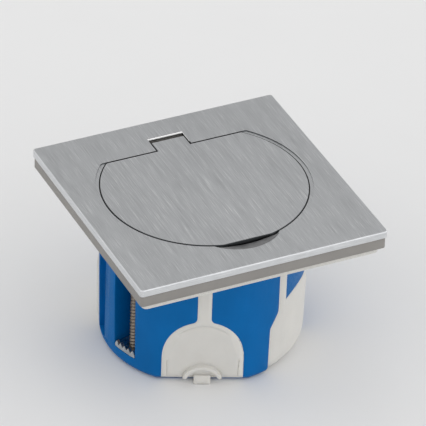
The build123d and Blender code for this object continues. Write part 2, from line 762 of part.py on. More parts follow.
def contact(spot):
    """Slit sleeve that grips a plug pin, on a stem that rises from a terminal."""
    sleeve_z = BLOCK_TOP_Z - SLEEVE_LENGTH
    with BuildPart() as piece:
        add(terminal(spot))
        stem_z = TERMINAL_Z + TERMINAL_HEIGHT
        extrude(dots(level(stem_z), [spot], STEM_R), amount=sleeve_z - stem_z)
        extrude(dots(level(sleeve_z), [spot], SLEEVE_R), amount=SLEEVE_LENGTH - SLEEVE_PLAY)
        extrude(
            dots(level(BLOCK_TOP_Z), [spot], SLEEVE_BORE_R),
            amount=-SLEEVE_LENGTH + SLEEVE_PLAY + SLEEVE_FLOOR,
            mode=Mode.SUBTRACT,
        )
        with Locations((*spot, BLOCK_TOP_Z)):
            Box(
                2 * SLEEVE_R,
                SLEEVE_SLIT,
                SLEEVE_SLIT_DEPTH,
                align=TO_TOP,
                mode=Mode.SUBTRACT,
            )
    return piece.part


terminal_screws = slotted_screws(
    TERMINAL_SPOTS,
    TERMINAL_Z - SCREW_PLAY,
    (TERMINAL_SCREW_HEAD_R, TERMINAL_SCREW_HEAD),
    TERMINAL_SCREW_R,
    TERMINAL_SCREW_LENGTH,
    up=False,
)

# Shutter: a plate across both pin holes, with a ramp along its rear edge
SHUTTER_Z = BLOCK_TOP_Z + SHUTTER_PLAY
SHUTTER_FRONT_Y = AXIS_Y - SHUTTER_FRONT
with BuildPart() as shutter:
    with Locations((0, SHUTTER_FRONT_Y, SHUTTER_Z)):
        Box(
            SHUTTER_WIDTH,
            SHUTTER_FRONT + SHUTTER_REAR,
            SHUTTER_THICKNESS,
            align=(Align.CENTER, Align.MIN, Align.MIN),
        )
    chamfer(shutter.faces().sort_by(Axis.Y)[-1].edges().sort_by(Axis.Z)[-1], SHUTTER_RAMP)

# Return spring between the shutter and the rim of its room
SHUTTER_SPRING_END_Y = AXIS_Y - SHUTTER_ROOM_R + SHUTTER_SPRING_END_GAP + SHUTTER_WIRE_R
SHUTTER_SPRING_LENGTH = (
    SHUTTER_FRONT_Y - SHUTTER_SPRING_END_GAP - SHUTTER_WIRE_R - SHUTTER_SPRING_END_Y
)
with BuildPart() as shutter_spring:
    with BuildLine() as coil:
        Helix(
            pitch=SHUTTER_SPRING_PITCH,
            height=SHUTTER_SPRING_LENGTH,
            radius=SHUTTER_SPRING_R,
            center=(0, SHUTTER_SPRING_END_Y, SHUTTER_Z + SHUTTER_THICKNESS / 2),
            direction=(0, 1, 0),
        )
    with BuildSketch(Plane(origin=coil.line @ 0, z_dir=coil.line % 0)):
        Circle(SHUTTER_WIRE_R)
    sweep(is_frenet=True)


def flat_plane(angle, foot_radius, top_z, top_radius, sink=0.0):
    """Plane of a slanted flat, facing outwards, its y axis up the slope from the box's underside."""
    lean = atan((top_radius - foot_radius) / top_z)
    out = outwards(angle)
    normal = out * cos(lean) - Vector(0, 0, sin(lean))
    foot = Vector(0, AXIS_Y, 0) + out * foot_radius
    return Plane(
        origin=foot - normal * sink, x_dir=Vector(0, 0, 1).cross(out), z_dir=normal
    )


DOME_CHAMFER_FOOT_R = DOME_FOOT_R - DOME_CHAMFER_Z
FLATS = [(a, DOME_FOOT_R, DOME_TOP_Z, BOX_R) for a in DOME_ANGLES]
FLATS += [(a, DOME_CHAMFER_FOOT_R, DOME_CHAMFER_Z, DOME_FOOT_R) for a in DOME_ANGLES]


def vessel(shrink, top_z, foot_fillet=BOX_FOOT_FILLET):
    """The box's form up to a height, smaller all round by shrink, with its flats and chamfers."""
    with BuildPart() as form:
        with BuildSketch(Plane(origin=(0, AXIS_Y, 0), z_dir=(0, -1, 0), x_dir=(1, 0, 0))):
            Polygon(
                (0, shrink),
                (BOX_LOW_R - shrink, shrink),
                (BOX_R - shrink, BOX_TAPER_Z),
                (BOX_R - shrink, top_z),
                (0, top_z),
                align=None,
            )
        revolve(axis=Axis((0, AXIS_Y, 0), (0, 0, 1)))
        fillet(
            form.faces().sort_by(Axis.Z)[0].edges().filter_by(GeomType.CIRCLE),
            foot_fillet - shrink,
        )
        for flat in FLATS:
            with BuildSketch(flat_plane(*flat, sink=shrink)):
                Rectangle(FAR, FAR)
            extrude(amount=FAR, mode=Mode.SUBTRACT)
    return form.part


OUTER_FORM = vessel(0.0, CHASSIS_Z)
INNER_FORM = vessel(BOX_WALL, CHASSIS_Z)
SOFT_FORM = vessel(0.0, CHASSIS_Z, LINK_FOOT_FILLET)


def dome_shape(plane):
    """Membrane outline: straight sides, a round top and a neck up to the worktop."""
    with BuildSketch(plane) as outline:
        with Locations((0, DOME_SHOULDER_Z)):
            Ellipse(DOME_HALF_WIDTH, DOME_TOP_Z - DOME_SHOULDER_Z)
            Rectangle(2 * DOME_HALF_WIDTH, FAR, align=(Align.CENTER, Align.MAX))
        with Locations((0, DOME_SHOULDER_Z)):
            Rectangle(
                NECK_WIDTH, WORKTOP_Z - DOME_SHOULDER_Z, align=(Align.CENTER, Align.MIN)
            )
        fillet(
            outline.vertices().filter_by_position(
                Axis.Y, DOME_SHOULDER_Z + VERTEX_MARGIN, WORKTOP_Z - VERTEX_MARGIN
            ),
            NECK_FILLET,
        )
    return outline.sketch


def link_shape(plane):
    """Wider membrane outline: a neck near one end and a gently arched top."""
    with BuildSketch(plane) as outline:
        with BuildLine():
            Polyline(
                (LINK_RIGHT, LINK_FAR_TOP_Z),
                (LINK_RIGHT, -FAR),
                (LINK_LEFT, -FAR),
                (LINK_LEFT, LINK_SHOULDER_Z),
                (LINK_NECK_LEFT, LINK_NECK_LEFT_Z),
                (LINK_NECK_LEFT, WORKTOP_Z),
                (LINK_NECK_RIGHT, WORKTOP_Z),
                (LINK_NECK_RIGHT, LINK_NECK_RIGHT_Z),
            )
            ThreePointArc(
                (LINK_NECK_RIGHT, LINK_NECK_RIGHT_Z),
                (LINK_CREST_X, LINK_CREST_Z),
                (LINK_RIGHT, LINK_FAR_TOP_Z),
            )
        make_face()
        fillet(
            outline.vertices().filter_by_position(
                Axis.Y, LINK_SHOULDER_Z - VERTEX_MARGIN, LINK_NECK_LEFT_Z + VERTEX_MARGIN
            ),
            LINK_SHOULDER_FILLET,
        )
    return outline.sketch


CUTS = [(dome_shape, a, DOME_INSIDE_R) for a in DOME_ANGLES]
CUTS += [(link_shape, a, LINK_INSIDE_R) for a in LINK_ANGLES]


def membrane(form, shape, angle, inside_radius):
    """The part of a form's wall within an outline, as a separate soft piece."""
    with BuildPart() as piece:
        add(form)
        add(INNER_FORM, mode=Mode.SUBTRACT)
        extrude(shape(radial_plane(angle, inside_radius)), amount=FAR, mode=Mode.INTERSECT)
    return piece.part


def dome_membrane(angle):
    """Dome membrane with a sunk field, an arch over its foot and a foot tab."""
    slope = flat_plane(angle, DOME_FOOT_R, DOME_TOP_Z, BOX_R)
    with BuildPart() as piece:
        add(membrane(OUTER_FORM, dome_shape, angle, DOME_INSIDE_R))
        with BuildSketch(slope):
            with Locations((0, DOME_SHOULDER_Z)):
                Ellipse(
                    DOME_HALF_WIDTH - DOME_BORDER, DOME_TOP_Z - DOME_SHOULDER_Z - DOME_BORDER
                )
                Rectangle(
                    2 * (DOME_HALF_WIDTH - DOME_BORDER),
                    DOME_SHOULDER_Z,
                    align=(Align.CENTER, Align.MAX),
                )
        extrude(amount=-DOME_BORDER_DEPTH, mode=Mode.SUBTRACT)
        with BuildSketch(slope.offset(-2 * DOME_BORDER_DEPTH)):
            with Locations((0, ARCH_CENTRE_Z)):
                Circle(ARCH_R)
                Circle(ARCH_R - ARCH_WIDTH, mode=Mode.SUBTRACT)
            with Locations((0, DOME_CHAMFER_Z)):
                Rectangle(FAR, FAR, align=(Align.CENTER, Align.MIN), mode=Mode.INTERSECT)
        extrude(amount=ARCH_HEIGHT + 2 * DOME_BORDER_DEPTH)
        with BuildSketch(side_plane(angle)):
            with Locations(((DOME_INSIDE_R + FOOT_TAB_REACH) / 2, 0)):
                Rectangle(FOOT_TAB_REACH - DOME_INSIDE_R, FOOT_TAB_WIDTH)
        extrude(amount=FOOT_TAB_HEIGHT)
        with BuildSketch(level(0)):
            with Locations((0, AXIS_Y)):
                Circle(BOX_R)
        extrude(amount=WORKTOP_Z, mode=Mode.INTERSECT)
    return piece.part


def upright_block(angle, inside, outside, half_width, low_z, high_z):
    """Block between two distances from the axis, across the direction of the angle."""
    with BuildPart() as block:
        with BuildSketch(side_plane(angle, low_z)):
            with Locations(((inside + outside) / 2, 0)):
                Rectangle(outside - inside, 2 * half_width)
        extrude(amount=high_z - low_z)
    return block.part


def housing(angle, inside_radius, half_width):
    """Walls inside the box around a channel or a sunk panel, kept within the box's form."""
    with BuildPart() as walls:
        add(OUTER_FORM)
        add(
            upright_block(
                angle, inside_radius, BOX_R, half_width, 0, WORKTOP_Z + BOX_FLANGE
            ),
            mode=Mode.INTERSECT,
        )
    return walls.part


# Box shell: vessel, flange on the worktop, screw posts, claw channels and openings for the membranes
with BuildPart() as box_shell:
    add(OUTER_FORM)
    extrude(disc(level(WORKTOP_Z), BOX_FLANGE_R), amount=BOX_FLANGE)
    add(INNER_FORM, mode=Mode.SUBTRACT)
    extrude(dots(level(CHASSIS_Z - POST_DEPTH), DEVICE_SCREW_SPOTS, POST_R), amount=POST_DEPTH)
    extrude(
        dots(level(CHASSIS_Z), DEVICE_SCREW_SPOTS, DEVICE_SCREW_R),
        amount=CHASSIS_THICKNESS - DEVICE_SCREW_LENGTH,
        mode=Mode.SUBTRACT,
    )
    for claw_angle in CLAW_ANGLES:
        for turn, width, depth, foot_z in SUNK_PANELS:
            add(
                housing(
                    claw_angle + turn, BOX_R - depth - PANEL_WALL, width / 2 + PANEL_WALL
                )
            )
        add(
            housing(
                claw_angle,
                CLAW_CHANNEL_INSIDE_R - CLAW_CHANNEL_WALL,
                CLAW_CHANNEL_HALF_WIDTH + CLAW_CHANNEL_WALL,
            )
        )
        add(
            upright_block(
                claw_angle,
                CLAW_CHANNEL_INSIDE_R,
                FAR,
                CLAW_CHANNEL_HALF_WIDTH,
                CLAW_CHANNEL_FOOT_Z,
                WORKTOP_Z,
            ),
            mode=Mode.SUBTRACT,
        )
        add(
            upright_block(
                claw_angle,
                CLAW_CHANNEL_INSIDE_R,
                CLAW_POCKET_OUTSIDE_R,
                CLAW_CHANNEL_HALF_WIDTH,
                CLAW_POCKET_Z,
                WORKTOP_Z,
            ),
            mode=Mode.SUBTRACT,
        )
        for turn, width, depth, foot_z in SUNK_PANELS:
            add(
                upright_block(
                    claw_angle + turn, BOX_R - depth, FAR, width / 2, foot_z, WORKTOP_Z
                ),
                mode=Mode.SUBTRACT,
            )
    extrude(
        dots(level(WORKTOP_Z), CLAW_SCREW_SPOTS, CLAW_SCREW_R + SCREW_PLAY),
        amount=BOX_FLANGE,
        mode=Mode.SUBTRACT,
    )
    for cut_shape, cut_angle, cut_radius in CUTS:
        extrude(
            cut_shape(radial_plane(cut_angle, cut_radius)), amount=FAR, mode=Mode.SUBTRACT
        )


def claw(angle):
    """Forked plate whose outer edge follows the box and carries a row of upright teeth."""
    plate_z = CLAW_CHANNEL_FOOT_Z + CLAW_LIFT
    tooth = 2 * CLAW_HALF_WIDTH / CLAW_TOOTH_COUNT
    with BuildPart() as piece:
        add(
            upright_block(
                angle,
                CLAW_INSIDE_R,
                CLAW_OUTSIDE_R,
                CLAW_HALF_WIDTH,
                plate_z,
                plate_z + CLAW_THICKNESS,
            )
        )
        for i in range(CLAW_TOOTH_COUNT):
            middle = (i + 0.5) * tooth - CLAW_HALF_WIDTH
            with BuildSketch(radial_plane(angle, CLAW_OUTSIDE_R - CLAW_TOOTH_DEPTH)):
                Polygon(
                    (middle - tooth / 2, plate_z),
                    (middle + tooth / 2, plate_z),
                    (middle + tooth / 2, plate_z + CLAW_THICKNESS),
                    (middle, plate_z + CLAW_THICKNESS + CLAW_TOOTH_HEIGHT),
                    (middle - tooth / 2, plate_z + CLAW_THICKNESS),
                    align=None,
                )
            extrude(amount=CLAW_TOOTH_DEPTH)
        add(
            upright_block(
                angle,
                CLAW_CHANNEL_INSIDE_R,
                CLAW_SCREW_CIRCLE_R,
                CLAW_SCREW_R + SCREW_PLAY,
                plate_z,
                plate_z + CLAW_THICKNESS,
            ),
            mode=Mode.SUBTRACT,
        )
        extrude(
            dots(
                level(plate_z),
                [around_axis(CLAW_SCREW_CIRCLE_R, angle)],
                CLAW_SCREW_R + SCREW_PLAY,
            ),
            amount=CLAW_THICKNESS,
            mode=Mode.SUBTRACT,
        )
        extrude(disc(level(0), BOX_LOW_R), amount=WORKTOP_Z, mode=Mode.INTERSECT)
    return piece.part


def claw_nut(angle):
    """Square nut under a claw."""
    low_z = CLAW_POCKET_Z + NUT_LIFT
    with BuildPart() as piece:
        add(
            upright_block(
                angle,
                CLAW_SCREW_CIRCLE_R - NUT_SIDE / 2,
                CLAW_SCREW_CIRCLE_R + NUT_SIDE / 2,
                NUT_SIDE / 2,
                low_z,
                low_z + NUT_HEIGHT,
            )
        )
        extrude(
            dots(
                level(low_z),
                [around_axis(CLAW_SCREW_CIRCLE_R, angle)],
                CLAW_SCREW_R + THREAD_PLAY,
            ),
            amount=NUT_HEIGHT,
            mode=Mode.SUBTRACT,
        )
    return piece.part


def claw_screw(angle):
    """Long screw that hangs from the channel's top and lifts the nut and the claw."""
    head_z = WORKTOP_Z + BOX_FLANGE
    return slotted_screws(
        [around_axis(CLAW_SCREW_CIRCLE_R, angle)],
        head_z,
        (CLAW_SCREW_HEAD_R, CLAW_SCREW_HEAD),
        CLAW_SCREW_R,
        head_z - CLAW_POCKET_Z - NUT_LIFT,
    )


pieces = {
    "cover_plate": cover_plate.part,
    "lid": lid.part,
    "hinge_pin": hinge_pin.part,
    "hinge_spring": hinge_spring.part,
    "lid_liner": lid_liner.part,
    "lid_seal": lid_seal.part,
    "lid_screws": lid_screws,
    "under_frame": under_frame.part,
    "frame_screws": frame_screws,
    "gasket": gasket.part,
    "chassis": chassis.part,
    "device_screws": device_screws,
    "socket_well": socket_well.part,
    "shutter": shutter.part,
    "shutter_spring": shutter_spring.part,
    "contact_block": contact_block.part,
    "block_screws": block_screws,
    "line_contact": contact(PIN_HOLE_SPOTS[0]),
    "neutral_contact": contact(PIN_HOLE_SPOTS[1]),
    "earth_pin": earth_pin.part,
    "earth_terminal": terminal(EARTH_SPOT),
    "terminal_screws": terminal_screws,
    "box_shell": box_shell.part,
    "membrane_front": dome_membrane(DOME_ANGLES[0]),
    "membrane_back": dome_membrane(DOME_ANGLES[1]),
    "membrane_right": membrane(SOFT_FORM, link_shape, LINK_ANGLES[0], LINK_INSIDE_R),
    "membrane_left": membrane(SOFT_FORM, link_shape, LINK_ANGLES[1], LINK_INSIDE_R),
}
for side_name, claw_angle in zip(("left", "right"), CLAW_ANGLES):
    pieces[f"claw_{side_name}"] = claw(claw_angle)
    pieces[f"claw_nut_{side_name}"] = claw_nut(claw_angle)
    pieces[f"claw_screw_{side_name}"] = claw_screw(claw_angle)

os.makedirs("parts", exist_ok=True)
for name, piece in pieces.items():
    piece.label = name
    export_step(piece, f"parts/{name}.step")
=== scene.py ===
"""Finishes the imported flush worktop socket: materials, threads, soft edges, light and camera."""

import json
from math import cos, pi, radians, sin

import bmesh
import bpy
import numpy as np
from mathutils import Matrix, Vector
from mathutils.kdtree import KDTree

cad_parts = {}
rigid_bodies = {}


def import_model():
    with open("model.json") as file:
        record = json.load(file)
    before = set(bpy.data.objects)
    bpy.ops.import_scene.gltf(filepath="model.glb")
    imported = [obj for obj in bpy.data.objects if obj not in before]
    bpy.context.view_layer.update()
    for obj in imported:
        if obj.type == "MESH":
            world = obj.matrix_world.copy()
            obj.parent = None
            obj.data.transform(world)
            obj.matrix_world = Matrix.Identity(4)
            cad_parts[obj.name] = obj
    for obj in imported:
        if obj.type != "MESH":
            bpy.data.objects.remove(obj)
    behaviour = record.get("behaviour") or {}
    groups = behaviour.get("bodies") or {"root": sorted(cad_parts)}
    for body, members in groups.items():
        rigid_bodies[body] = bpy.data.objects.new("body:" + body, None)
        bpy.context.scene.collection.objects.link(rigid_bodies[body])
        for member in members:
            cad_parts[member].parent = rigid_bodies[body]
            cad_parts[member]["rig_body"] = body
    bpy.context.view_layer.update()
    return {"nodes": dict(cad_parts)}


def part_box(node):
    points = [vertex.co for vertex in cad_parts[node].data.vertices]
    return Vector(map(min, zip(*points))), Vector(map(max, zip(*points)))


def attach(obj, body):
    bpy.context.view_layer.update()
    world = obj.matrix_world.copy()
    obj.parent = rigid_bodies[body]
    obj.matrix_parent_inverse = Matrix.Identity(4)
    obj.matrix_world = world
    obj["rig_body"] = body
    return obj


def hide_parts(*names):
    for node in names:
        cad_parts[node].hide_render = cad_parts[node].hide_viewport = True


bl_info = {
    "name": "Flush Worktop Socket",
    "version": (1, 0, 0),
    "blender": (4, 5, 0),
    "location": "View3D > Sidebar > Worktop Socket",
    "description": "Finishes, threads and soft edges for the flush worktop socket",
    "category": "Object",
}

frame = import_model()
MM = 0.001
TURN = 2 * pi

# Camera, solved from the four corners of the cover in the photograph
PICTURE_SIDE = 426
FOCAL_PIXELS = 4507.0
SENSOR = 36.0
CAMERA_AZIMUTH = radians(-26.2)
CAMERA_ELEVATION = radians(34.6)
CAMERA_ROLL = radians(2.14)
CAMERA_AIM = (0.0, 0.0, 56.6 * MM)
CAMERA_ASIDE = 1.488 * MM
CAMERA_UP = -7.491 * MM
CAMERA_DISTANCE = 1444.8 * MM
# Nearest and farthest distance that the camera sees, in metres
CAMERA_REACH = (0.1, 20.0)


def linear(hex_colour):
    """Linear RGBA of an sRGB colour written as #rrggbb."""
    channels = [int(hex_colour[i : i + 2], 16) / 255 for i in (1, 3, 5)]
    return tuple(
        c / 12.92 if c <= 0.04045 else ((c + 0.055) / 1.055) ** 2.4 for c in channels
    ) + (1.0,)


def colour(label, description, hex_colour):
    """Colour property with a default."""
    return bpy.props.FloatVectorProperty(
        name=label,
        description=description,
        subtype="COLOR",
        size=4,
        min=0.0,
        max=1.0,
        default=linear(hex_colour),
    )


def length(label, description, millimetres):
    """Length property with a default in millimetres, kept in metres."""
    return bpy.props.FloatProperty(
        name=label,
        description=description,
        subtype="DISTANCE",
        unit="LENGTH",
        min=0.0,
        precision=5,
        default=millimetres * MM,
    )


class WorktopSocketColours(bpy.types.PropertyGroup):
    """Colours of the socket's finishes."""

    steel: colour("Stainless steel", "Brushed cover and lid", "#dfe1e3")
    # Painted shade: dark grey for the upright walls of the gap around the lid, where shade falls
    gap: colour("Sheared steel", "Walls of the gap around the lid", "#4c4e50")
    # Painted highlight: almost white colour of the notch's rounded edges
    notch: colour("Burnished edge", "Edges of the hinge notch", "#ffffff")
    scoop: colour("Pressed steel", "Finger scoop", "#9c9c9d")
    zinc: colour("Zinc plating", "Screws, claws and chassis", "#c2c5c6")
    phosphate_and_shade: colour("Phosphated steel", "Claw screws", "#8c8278")
    # Partly the coat's own brown grey and partly painted shade of the deep claw channel
    spring: colour("Spring steel", "Pin and springs", "#b9bbbd")
    brass: colour("Brass", "Contacts and terminals", "#d9b866")
    taupe: colour("Frame plastic", "Frame under the cover", "#8c8985")
    foam: colour("Gasket foam", "Gasket on the worktop", "#d3d1cc")
    black: colour("Liner plastic", "Liner under the lid", "#2a2b2d")
    grey: colour("Socket plastic", "Well, shutter and contact block", "#595c60")
    blue: colour("Box plastic", "Round box", "#0063a6")
    ivory: colour("Membrane", "Pierceable membranes", "#d7d5d0")
    rubber: colour("Seal rubber", "Seal under the lid", "#1c1c1e")
    floor: colour("Floor", "Studio floor", "#e8e8e8")


class WorktopSocketSizes(bpy.types.PropertyGroup):
    """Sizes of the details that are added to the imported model."""

    plastic_edge: length("Plastic edge", "Rounding of moulded edges", 0.25)
    membrane_edge: length("Membrane edge", "Rounding of the membranes' edges", 0.4)
    membrane_rise: length("Membrane rise", "How far the wide membranes swell out", 0.75)
    membrane_run: length("Membrane run", "Width of the slope up to the swell", 2.6)
    dome_rise: length("Dome rise", "How far the domed membranes swell out", 0.35)
    dome_run: length("Dome run", "Width of the domed membranes' soft border", 1.6)
    foam_edge: length("Foam edge", "Rounding of the gasket's outer edges", 0.45)
    # The notch edge is a thin bar coloured as a painted highlight
    burr: length("Notch edge", "Radius of the burnished edge of the hinge notch", 0.35)
    claw_pitch: length("Claw screw pitch", "Thread pitch of the claw screws", 1.25)
    slot_width: length("Slot width", "Slot in the screw heads", 0.7)


# Nodes and materials


def add_node(tree, kind, settings=None, links=None):
    """Adds a node, sets its properties or its sockets' values, and links its sockets."""
    node = tree.nodes.new(kind)
    for key, value in (settings or {}).items():
        if isinstance(key, str) and hasattr(node, key):
            setattr(node, key, value)
        else:
            node.inputs[key].default_value = value
    for key, source in (links or {}).items():
        tree.links.new(source, node.inputs[key])
    return node


def pattern_space(tree, unit):
    """Object coordinates in which one unit of a pattern is unit millimetres long in x, y and z."""
    place = add_node(tree, "ShaderNodeTexCoord")
    scale = [1 / (side * MM) for side in unit]
    return add_node(
        tree, "ShaderNodeMapping", {"Scale": scale}, {"Vector": place.outputs["Object"]}
    ).outputs["Vector"]


def noise(tree, unit, detail=2.0, roughness=0.5, space=None):
    """Noise between 0 and 1 whose lumps are about unit millimetres wide."""
    where = pattern_space(tree, unit) if space is None else space
    return add_node(
        tree,
        "ShaderNodeTexNoise",
        {"Scale": 1.0, "Detail": detail, "Roughness": roughness},
        {"Vector": where},
    ).outputs[0]


def spread(tree, value, low, high, near=0.35, far=0.65):
    """Number from low to high as value goes from near to far."""
    return add_node(
        tree,
        "ShaderNodeMapRange",
        {1: near, 2: far, 3: low, 4: high},
        {0: value},
    ).outputs[0]


def tints(tree, value, base, dark, light):
    """Base colour multiplied by a grey from dark to light as value goes from 0.3 to 0.7."""
    low = [c * dark for c in base[:3]] + [1.0]
    high = [min(c * light, 1.0) for c in base[:3]] + [1.0]
    factor = spread(tree, value, 0.0, 1.0, 0.3, 0.7)
    return add_node(
        tree, "ShaderNodeMix", {"data_type": "RGBA", 6: low, 7: high}, {0: factor}
    ).outputs[2]


def maths(tree, operation, value, other):
    """Result of an operation on two values, of which the second may be a plain number."""
    settings, links = {"operation": operation}, {0: value}
    if isinstance(other, bpy.types.NodeSocket):
        links[1] = other
    else:
        settings[1] = other
    return add_node(tree, "ShaderNodeMath", settings, links).outputs[0]


def absolute(tree, value):
    """Size of a number without its sign."""
    return add_node(
        tree, "ShaderNodeMath", {"operation": "ABSOLUTE"}, {0: value}
    ).outputs[0]


def bump(tree, height, distance, strength=1.0, normal=None):
    """Normal that is disturbed by height, with a depth in millimetres."""
    links = {"Height": height}
    if normal is not None:
        links["Normal"] = normal
    return add_node(
        tree, "ShaderNodeBump", {"Strength": strength, "Distance": distance * MM}, links
    ).outputs["Normal"]


def blank_material(name):
    """Material with an empty node tree, and that tree."""
    material = bpy.data.materials.new(name)
    material.use_nodes = True
    material.node_tree.nodes.clear()
    return material, material.node_tree


def close_material(tree, settings, links):
    """Ends a tree with a shader and the output."""
    shader = add_node(tree, "ShaderNodeBsdfPrincipled", settings, links)
    add_node(tree, "ShaderNodeOutputMaterial", None, {"Surface": shader.outputs["BSDF"]})


# Width and length of a drawn scratch in millimetres
SCRATCH_WIDTH = 0.17
SCRATCH_LENGTH = 10.0
# A face counts as turned to an axis when that part of its normal is over this share
FACES_AXIS = 0.7
# Distances from the cover's middle between which its outer edge begins
OUTER_EDGE = (40.0 * MM, 41.0 * MM)
# Upward part of the normal between which a slope stops counting as a wall
WALL_SLOPE = (0.74, 0.78)


def brushed_stainless_steel(colours):
    """Stainless sheet linished along Y, and along X on its front and rear bands."""
    # Fine parallel scratches give the eye long pale and dark streaks, and a highlight drawn across
    # them. Real scratches are 0.03 to 0.1 mm wide; they are drawn 0.17 mm wide so that they show.
    material, tree = blank_material("brushed stainless steel")
    own_face = add_node(tree, "ShaderNodeTexCoord").outputs["Normal"]
    parts = add_node(tree, "ShaderNodeSeparateXYZ", None, {0: own_face})
    level = absolute(tree, parts.outputs["Z"])
    faces_y = maths(tree, "GREATER_THAN", absolute(tree, parts.outputs["Y"]), FACES_AXIS)
    faces_z = maths(tree, "GREATER_THAN", level, FACES_AXIS)
    fine_space = add_node(
        tree,
        "ShaderNodeMix",
        {"data_type": "VECTOR"},
        {
            0: faces_y,
            4: pattern_space(tree, (SCRATCH_WIDTH, SCRATCH_LENGTH, SCRATCH_WIDTH)),
            5: pattern_space(tree, (SCRATCH_LENGTH, SCRATCH_WIDTH, SCRATCH_WIDTH)),
        },
    ).outputs[1]
    fine = noise(tree, None, 3.0, 0.6, fine_space)
    broad = noise(tree, (2.5, 90.0, 2.5), 2.0)
    clouds = noise(tree, (26.0, 40.0, 26.0), 1.0)
    streaks = add_node(
        tree, "ShaderNodeMix", {"data_type": "FLOAT", 0: 0.2}, {2: fine, 3: broad}
    ).outputs[0]
    mixed = add_node(
        tree, "ShaderNodeMix", {"data_type": "FLOAT", 0: 0.1}, {2: streaks, 3: clouds}
    ).outputs[0]
    drawn = add_node(
        tree,
        "ShaderNodeMix",
        {"data_type": "VECTOR", 4: (0.0, 0.0, 1.0), 5: (1.0, 0.0, 0.0)},
        {0: faces_z},
    ).outputs[1]
    scratches = noise(tree, None, 2.0, 0.7, fine_space)
    scratched = add_node(
        tree,
        "ShaderNodeMix",
        {"data_type": "RGBA", 7: (1.0, 1.0, 1.0, 1.0)},
        {
            0: spread(tree, scratches, 0.0, 0.9, 0.6, 0.74),
            6: tints(tree, mixed, colours.steel, 0.8, 1.1),
        },
    ).outputs[2]
    # Distance from the cover's middle, measured square, tells its outer edges from the lid's gap
    place = add_node(tree, "ShaderNodeTexCoord").outputs["Object"]
    apart = add_node(
        tree, "ShaderNodeVectorMath", {"operation": "ABSOLUTE"}, {0: place}
    ).outputs["Vector"]
    sides = add_node(tree, "ShaderNodeSeparateXYZ", None, {0: apart})
    farthest = maths(tree, "MAXIMUM", sides.outputs["X"], sides.outputs["Y"])
    # The outer edges are rounded by 0.2 mm to the eye
    face = add_node(tree, "ShaderNodeNewGeometry").outputs["Normal"]
    rounded = add_node(
        tree, "ShaderNodeBevel", {"samples": 6, "Radius": 0.2 * MM}
    ).outputs["Normal"]
    edges = add_node(
        tree,
        "ShaderNodeMix",
        {"data_type": "VECTOR"},
        {0: spread(tree, farthest, 0.0, 1.0, *OUTER_EDGE), 4: face, 5: rounded},
    ).outputs[1]
    # Painted shade: the sheared walls and broken edges of the lid's gap are mixed to a dark grey,
    # standing for the shade inside the gap
    upright = spread(tree, level, 1.0, 0.0, *WALL_SLOPE)
    inner = spread(tree, farthest, 1.0, 0.0, *OUTER_EDGE)
    shaded = add_node(
        tree,
        "ShaderNodeMix",
        {"data_type": "RGBA", 7: colours.gap},
        {0: maths(tree, "MULTIPLY", upright, inner), 6: scratched},
    ).outputs[2]
    close_material(
        tree,
        {"Metallic": 1.0, "Anisotropic": 0.55},
        {
            "Base Color": shaded,
            "Roughness": spread(tree, streaks, 0.31, 0.38),
            "Normal": bump(tree, fine, 0.008, 0.4, edges),
            "Tangent": drawn,
        },
    )
    return material


def painted_highlight_edge_steel(colours):
    """Sheared edge of the sheet, coloured almost white as a painted highlight."""
    # Painted highlight: the rounded edge is given an almost white colour, standing for the light
    # that it catches from all sides as one thin line.
    material, tree = blank_material("burnished sheet edge")
    grit = noise(tree, (0.4, 0.4, 0.4), 2.0)
    close_material(
        tree,
        {"Metallic": 0.25},
        {
            "Base Color": tints(tree, grit, colours.notch, 0.9, 1.0),
            "Roughness": spread(tree, grit, 0.3, 0.45),
        },
    )
    return material


def pressed_steel(colours):
    """Stainless sheet as pressed, in the finger scoop."""
    # Pressing leaves a dull grey face with faint clouds and no brushing.
    material, tree = blank_material("pressed stainless steel")
    clouds = noise(tree, (3.0, 3.0, 3.0), 2.0)
    close_material(
        tree,
        {"Metallic": 0.85},
        {
            "Base Color": tints(tree, clouds, colours.scoop, 0.85, 1.1),
            "Roughness": spread(tree, clouds, 0.4, 0.5),
        },
    )
    return material


def zinc_plated_steel(colours):
    """Rolled or cold-headed steel with a bright zinc coat."""
    # The coat gives a soft bluish-grey gloss with cloudy, slightly duller patches.
    material, tree = blank_material("zinc-plated steel")
    clouds = noise(tree, (1.6, 1.6, 1.6), 3.0)
    grit = noise(tree, (0.25, 0.25, 0.25), 2.0)
    close_material(
        tree,
        {"Metallic": 1.0},
        {
            "Base Color": tints(tree, clouds, colours.zinc, 0.8, 1.12),
            "Roughness": spread(tree, clouds, 0.22, 0.42),
            "Normal": bump(tree, grit, 0.015, 0.6),
        },
    )
    return material


def phosphated_shaded_steel(colours):
    """Cut and phosphated thread of the claw screws, darkened partly as painted shade."""
    # The phosphated coat gives the threads a brown grey with brighter and darker worn patches at
    # random; the grey is also kept dark as painted shade of the channel that the screws sit in.
    material, tree = blank_material("phosphated screw thread")
    wear = noise(tree, (0.8, 0.8, 0.5), 3.0)
    close_material(
        tree,
        {"Metallic": 1.0},
        {
            "Base Color": tints(tree, wear, colours.phosphate_and_shade, 0.7, 1.25),
            "Roughness": spread(tree, wear, 0.4, 0.55),
        },
    )
    return material


def spring_steel(colours):
    """Drawn stainless wire and rod."""
    # Drawing leaves fine lines along the wire and a bright, slightly uneven gloss.
    material, tree = blank_material("drawn stainless spring wire")
    lines = noise(tree, (3.0, 0.15, 0.15), 2.0)
    close_material(
        tree,
        {"Metallic": 1.0},
        {
            "Base Color": tints(tree, lines, colours.spring, 0.82, 1.1),
            "Roughness": spread(tree, lines, 0.16, 0.32),
            "Normal": bump(tree, lines, 0.006, 0.5),
        },
    )
    return material


